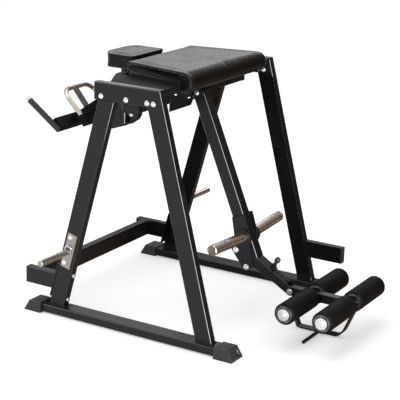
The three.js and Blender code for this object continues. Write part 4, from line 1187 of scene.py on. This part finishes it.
class BENCH_OT_bolts(bpy.types.Operator):
    """Sets the zinc bolts, nuts and small screws."""
    bl_idname = "bench.bolts"
    bl_label = "Bolts"

    def execute(self, context):
        hardware = context.scene.bench_hardware
        spots = frame_bolts()
        zinc_bolts("frame_bolts", bolt_shape(hardware.head, hardware.washer), spots,
                   np.arange(len(spots)) * TURN_STEP, "frame")
        spots = [(at(SCREW_X, y, z), AHEAD) for y, z in SCREWS]
        zinc_bolts("bracket_screws", bolt_shape(*SCREW_SHAPE), spots, None, "frame")
        spots = [(at(x, s * PLATE_BOLT_Y, z), ACROSS * s) for s in SIDES.values() for x, z in PLATE_BOLTS]
        zinc_bolts("side_plate_bolts", bolt_shape(*PLATE_BOLT_SHAPE), spots, np.array(PLATE_BOLT_TURNS),
                   "pendulum")
        x, y, z = HORN_NUT
        spots = [(at(x, s * y, z), ACROSS * s) for s in SIDES.values()]
        zinc_bolts("horn_nuts", lathe(NUT_PROFILE, 36, NUT_FLATS), spots, None, "frame")
        return {"FINISHED"}


WELD_AROUND = 8
WELD_RISE = 1
WELD_GAP = 0.5
WELD_STEP = 0.002
TOP_BEAD_SHARE = 0.7
CROSS_BEAD_SHARE = 0.8
CROSS_TUBES = ((*CROSS_BEAM, 80, 80), (-151, BEAM_MID, 40, 40), (96, 1088, 40, 28))


def leg_weld(s, mirror, height, bead):
    """A bead round a leg, where it meets the level plane at the height."""
    inward = LEG_IN * mirror
    foot = at(LEG_FOOT_X * mirror[0], s * MID_Y, RAIL_TOP) + inward * TUBE_WIDE / 2 * MM
    section = rounded(TUBE_WIDE, TUBE_DEEP, TUBE_CORNER)
    loop = seam_loop(foot, LEG_UP * mirror, inward, ACROSS, section, at(0, 0, height), UP)
    return swept(loop, rippled(len(loop), bead), WELD_AROUND, True, UP)


def cross_weld(s, x, z, wide, tall, bead):
    """A bead round a cross tube, on the inner face of a side frame."""
    ring = rounded(wide, tall, TUBE_CORNER)
    flat = np.stack([ring[:, 0], np.zeros(len(ring)), ring[:, 1]], -1) * MM
    loop = resampled(at(x, s * (INNER_Y - WELD_GAP), z) + flat, WELD_STEP, True)
    return swept(loop, rippled(len(loop), bead), WELD_AROUND, True, ACROSS)


class BENCH_OT_welds(bpy.types.Operator):
    """Runs weld beads round the joints of the side frames and the cross beams."""
    bl_idname = "bench.welds"
    bl_label = "Welds"

    def execute(self, context):
        bead = context.scene.bench_coat.bead
        blocks = []
        for s in SIDES.values():
            for mirror in (np.ones(3), MIRROR):
                blocks.append(leg_weld(s, mirror, RAIL_TOP + WELD_RISE, bead))
            blocks.append(leg_weld(s, MIRROR, BEAM_LOW, bead * TOP_BEAD_SHARE))
        for tube in CROSS_TUBES:
            blocks += [cross_weld(s, *tube, bead * CROSS_BEAD_SHARE) for s in SIDES.values()]
        piece("frame_welds", blocks, coat_finish(), "frame", sharp=60)
        return {"FINISHED"}


# Studio

CAMERA_PLACE = (2.99554, -5.0569, 2.2639)
CAMERA_AZIMUTH = math.radians(30.5)
CAMERA_ELEVATION = math.radians(16.65)
CAMERA_ROLL = math.radians(1.67)
SENSOR = 36
VIEW_DEPTH = 200
LAMP_AIM = (0, 0, 0.6)
OVERHEAD_PLACE, OVERHEAD_SIZE = (-0.6, -0.6, 4.2), 3.4
SIDE_PLACE, SIDE_SIZE = (-3.2, -3.6, 2.6), 2.2
WHITE = (1, 1, 1, 1)
FLOOR_GREY = (0.8, 0.8, 0.8, 1)
FLOOR_GLOW = 0.36
BROWN = (0.3, 0.21, 0.15)
WALL = (5.4, 3.15, 0)
CARDS = (
    ("brown_floor", (-1.7, -0.45, 0.004), (5.9, 0, 0), (0, 5.2, 0), BROWN),
    ("dark_right", (4.2, -0.45, 0), (0, 5.2, 0), (0, 0, 4.2), (0.03, 0.03, 0.03)),
    ("dark_far", (0.5, 4.75, 0), (3.7, 0, 0), (0, 0, 1.25), (0.03, 0.03, 0.03)),
    ("brown_far", (0.2, 4.75, 1.25), (4.0, 0, 0), (0, 0, 3.75), BROWN),
    ("brown_above", (-5.2, 2.2, 4.0), WALL, (0, 0, 3.0), (0.2, 0.15, 0.12)),
    ("dark_back", (-4.9, 1.6, 0.0), WALL, (0, 0, 1.8), (0.05, 0.05, 0.05)),
    ("bright_back", (-5.2, 2.2, 1.9), WALL, (0, 0, 2.1), (2.6, 2.6, 2.6)),
)
INSIDE_CARD = ("dark_inside", (-0.55, 0.44, 0.06), (1.1, 0, 0), (0, 0, 0.98), (0.02, 0.02, 0.02))
EDGE_CARDS = (
    ("edge_floor", (0.75, -1.35, 0.005), (2.2, -1.43, 0), (0.7, 1.07, 0)),
    ("edge_stand", (2.47, -2.45, 0), (1.13, 1.75, 0), (0, 0, 2.1)),
)


def camera_matrix():
    """The camera's axes: back from its azimuth and elevation, right level, then both turned by the roll."""
    az, el = CAMERA_AZIMUTH, CAMERA_ELEVATION
    back = np.array([math.sin(az) * math.cos(el), -math.cos(az) * math.cos(el), math.sin(el)])
    right = np.array([math.cos(az), math.sin(az), 0])
    up = np.cross(back, right)
    c, s = math.cos(CAMERA_ROLL), math.sin(CAMERA_ROLL)
    return matrix_of(np.stack([c * right + s * up, c * up - s * right, back], axis=1), CAMERA_PLACE)


def matrix_of(axes, place):
    """A matrix from three columns and a place."""
    made = np.eye(4)
    made[:3, :3] = axes
    made[:3, 3] = place
    return Matrix(made.tolist())


def lamp(name, place, size, power):
    """A square soft lamp at a place, turned to the middle of the machine."""
    data = bpy.data.lights.new(name, "AREA")
    data.shape = "RECTANGLE"
    data.size = data.size_y = size
    data.energy = power
    obj = new_object(name, data)
    obj.matrix_world = matrix_of(basis(np.array(place) - np.array(LAMP_AIM)), place)
    obj.visible_camera = False


def flat_sheet(name, corner, first, second, material):
    """A flat surface: corner + a first + b second, for a and b from 0 to 1."""
    a, b = np.meshgrid(np.linspace(0, 1, 3), np.linspace(0, 1, 3), indexing="ij")
    points = np.array(corner) + a[..., None] * np.array(first) + b[..., None] * np.array(second)
    number = np.arange(9).reshape(3, 3)
    faces = np.stack([number[:-1, :-1], number[1:, :-1], number[1:, 1:], number[:-1, 1:]], -1).reshape(-1, 4)
    mesh = bpy.data.meshes.new(name)
    mesh.from_pydata(points.reshape(-1, 3), [], faces)
    mesh.materials.append(material)
    obj = new_object(name, mesh)
    return obj


def reflected_card(name, corner, first, second, light, back_only=False):
    """A card of one even light that only reflections see, if need be from its back only."""
    material, tree, shader = new_material(name)
    preset(shader, Base_Color=(0, 0, 0, 1), Specular_IOR_Level=0,
           Emission_Color=[c / max(light) for c in light] + [1], Emission_Strength=max(light))
    if back_only:
        tree.links.new(node(tree, "ShaderNodeNewGeometry").outputs["Backfacing"], shader.inputs["Alpha"])
    card = flat_sheet(name, corner, first, second, material)
    for flag in ("visible_camera", "visible_diffuse", "visible_shadow", "visible_transmission"):
        setattr(card, flag, False)


def seen_directly(tree):
    """1 for camera, glossy and transmission rays, 0 for all others."""
    path = node(tree, "ShaderNodeLightPath")
    both = maths(tree, "MAXIMUM", path.outputs["Is Camera Ray"], path.outputs["Is Glossy Ray"])
    return maths(tree, "MAXIMUM", both, path.outputs["Is Transmission Ray"])


def pale_floor():
    """A matt floor that keeps the shadow and glows a little where it is seen directly."""
    material, tree, shader = new_material("pale_floor")
    preset(shader, Base_Color=FLOOR_GREY, Roughness=0.9, Specular_IOR_Level=0, Emission_Color=WHITE)
    glow = maths(tree, "MULTIPLY", seen_directly(tree), FLOOR_GLOW)
    tree.links.new(glow, shader.inputs["Emission Strength"])
    flat_sheet("floor", (-30, -30, 0), (60, 0, 0), (0, 60, 0), material)


def surround(ambient):
    """A white world, at the ambient level for all rays but those that see it directly."""
    world = bpy.data.worlds.new("surround")
    bpy.context.scene.world = world
    world.use_nodes = True
    tree = world.node_tree
    level = node(tree, "ShaderNodeMapRange", [("Value", seen_directly(tree))], To_Min=ambient, To_Max=1.0)
    background = tree.nodes["Background"]
    background.inputs["Color"].default_value = WHITE
    tree.links.new(level.outputs[0], background.inputs["Strength"])


class BENCH_OT_studio(bpy.types.Operator):
    """Sets the pale floor, the surround, the soft lamps, the reflected cards and the camera."""
    bl_idname = "bench.studio"
    bl_label = "Studio"

    def execute(self, context):
        studio = context.scene.bench_studio
        pale_floor()
        surround(studio.ambient)
        lamp("overhead", OVERHEAD_PLACE, OVERHEAD_SIZE, studio.overhead)
        lamp("side", SIDE_PLACE, SIDE_SIZE, studio.side)
        for card in CARDS:
            reflected_card(*card)
        reflected_card(*INSIDE_CARD, back_only=True)
        for card in EDGE_CARDS:
            reflected_card(*card, [studio.rim] * 3)
        data = bpy.data.cameras.new("view")
        data.lens = studio.lens
        data.sensor_width = SENSOR
        data.clip_end = VIEW_DEPTH
        camera = new_object("view", data)
        camera.matrix_world = camera_matrix()
        context.scene.camera = camera
        context.scene.view_settings.view_transform = "Standard"
        return {"FINISHED"}


OPERATORS = (
    BENCH_OT_painted_steel, BENCH_OT_rubber_and_caps, BENCH_OT_plated_tubes, BENCH_OT_main_cushion,
    BENCH_OT_head_cushion, BENCH_OT_foam_rollers, BENCH_OT_grips, BENCH_OT_spring_pin, BENCH_OT_bolts,
    BENCH_OT_welds, BENCH_OT_studio,
)


class BENCH_PT_panel(bpy.types.Panel):
    """Lists the settings and the steps in the order in which they run."""
    bl_label = "Bench"
    bl_idname = "BENCH_PT_panel"
    bl_space_type = "VIEW_3D"
    bl_region_type = "UI"
    bl_category = "Bench"

    def draw(self, context):
        for name, group in GROUPS:
            box = self.layout.box()
            for key in group.__annotations__:
                box.prop(getattr(context.scene, name), key)
        for operator in OPERATORS:
            self.layout.operator(operator.bl_idname)


def register():
    for name, group in GROUPS:
        bpy.utils.register_class(group)
        setattr(bpy.types.Scene, name, PointerProperty(type=group))
    for made in OPERATORS + (BENCH_PT_panel,):
        bpy.utils.register_class(made)


def unregister():
    for made in (BENCH_PT_panel,) + OPERATORS[::-1]:
        bpy.utils.unregister_class(made)
    for name, group in GROUPS[::-1]:
        delattr(bpy.types.Scene, name)
        bpy.utils.unregister_class(group)


def main():
    register()
    for operator in OPERATORS:
        area, name = operator.bl_idname.split(".")
        getattr(getattr(bpy.ops, area), name)()
    bpy.context.view_layer.update()


if __name__ == "__main__":
    main()
